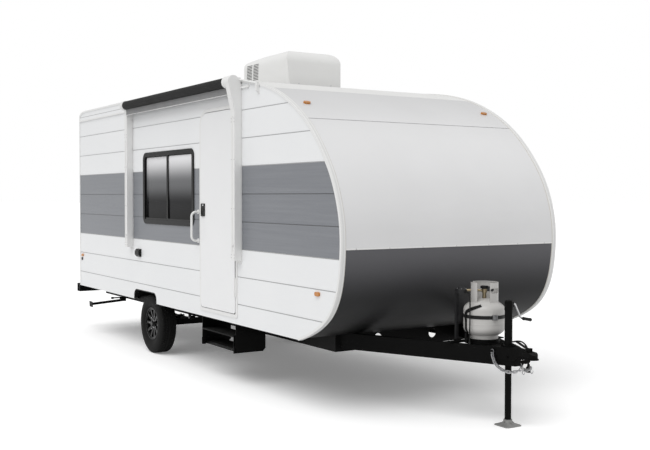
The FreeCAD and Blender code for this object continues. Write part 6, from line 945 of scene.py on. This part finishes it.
TYRE_X, TYRE_RADIUS, AXLE_Z = 919.5, 313.0, 313.0
GROOVES, GROOVE_HALF, GROOVE_DEPTH = (-43.0, -15.0, 15.0, 43.0), 4.2, 6.5
PITCHES, SIPE_DEPTH, LUG_DEPTH = 72, 4.5, 2.2
SIDEWALL = ((64, 170), (72, 176), (80, 186), (89, 210), (92.3, 236), (90.5, 262), (85, 286), (78, 301),
            (71, 308.5))
INNER_WALL = ((-40, 168), (0, 168), (40, 168))
TREAD_EDGE, TREAD_EDGE_RADIUS, TREAD_LEAST, SHOULDER_LEAST, UNCUT_MIDDLE = 65.0, 311.2, 300, 290, 12


def tyre_form(side):
    """Radius round the axle over a loop across the section, less grooves, cross cuts and shoulder lugs.

    The crown falls from the middle with the square of the distance across. A groove's depth is the cut
    times one less the fourth power of the share of its half width, and a cross cut is one sample of four
    in each pitch.
    """
    wall = through(SIDEWALL, 14)
    across = np.linspace(TREAD_EDGE, -TREAD_EDGE, 53)
    crown = TYRE_RADIUS - (TYRE_RADIUS - TREAD_EDGE_RADIUS) * (across / TREAD_EDGE) ** 2
    section = np.concatenate([wall, np.stack([across, crown], 1), wall[::-1] * (-1, 1), INNER_WALL])
    x, radius = section.T
    count = 4 * PITCHES
    turn = np.linspace(0, 2 * np.pi, count, endpoint=False)[:, None]
    phase = np.arange(count)[:, None] % 4
    tread = (np.abs(x) <= TREAD_EDGE) & (radius > TREAD_LEAST)
    rib = np.searchsorted(GROOVES, x)
    cut = np.zeros((count, len(x)))
    for middle in GROOVES:
        near = np.clip(np.abs(x - middle) / GROOVE_HALF, 0, 1)
        cut = np.maximum(cut, tread * GROOVE_DEPTH * (1 - near ** 4))
    crossing = (phase == 2 * (rib % 2)) & tread & (np.abs(x) > UNCUT_MIDDLE)
    cut = np.maximum(cut, SIPE_DEPTH * crossing)
    shoulder = (radius > SHOULDER_LEAST) & ~tread
    cut = np.maximum(cut, LUG_DEPTH * (shoulder & (phase < 2)))
    reach = radius[None, :] - cut
    points = np.stack([side * TYRE_X + x[None, :] + 0 * reach, AXLE_Y + reach * np.sin(turn),
                       AXLE_Z + reach * np.cos(turn)], -1)
    return webbed(points, around=True, along=True, capped=False)


tyre_black = finish("tyre_rubber", (0.004, 0.004, 0.004), (0.009, 0.009, 0.0085), 0.66, grain=(14, 14, 14),
                    lift=0.0005, fine=(400, 400, 400), gloss=0.14)
wheel_paint = finish("wheel_paint", (0.004, 0.004, 0.004), (0.008, 0.008, 0.008), 0.30, lift=0.0003,
                     fine=(60, 60, 60), gloss=0.35)
dress(wheel_paint, "wheel_door_side", "wheel_far_side")
NUT = ((-1, 9.8), (1, 9.8), (3, 9.0), (13, 8.8), (17, 7.4), (19, 3.0))
NUTS, NUT_CIRCLE, SPOKE_CIRCLE, TURNS_TRIED, BESIDE_WHEELS = 5, 61, 100, 36, 1300


def wheel_hits(wheel, side, radius, first):
    """Where level rays at five even turns round the axle, from a first turn in degrees, meet the wheel."""
    turns = [math.radians(first + 360 // NUTS * k) for k in range(NUTS)]
    return [at for at, _ in seats(wheel, [(side * BESIDE_WHEELS, AXLE_Y + radius * math.sin(turn),
                                           AXLE_Z + radius * math.cos(turn)) for turn in turns], (-side, 0, 0))]


for side, end in ((-1, "door_side"), (1, "far_side")):
    tyre = put("tread_tyre_" + end, tyre_form(side), tyre_black, "wheel_unit_" + end, sharp=0.5)
    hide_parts("tyre_" + end)
    wheel = "wheel_" + end
    on_spokes = max(range(TURNS_TRIED), key=lambda turn: sum(
        abs(x) for x, _, _ in wheel_hits(wheel, side, SPOKE_CIRCLE, turn)))
    nuts = [lathe(NUT, at, (side, 0, 0), 6) for at in wheel_hits(wheel, side, NUT_CIRCLE, on_spokes)]
    put("wheel_nuts_" + end, merged(nuts), chrome, "wheel_unit_" + end)
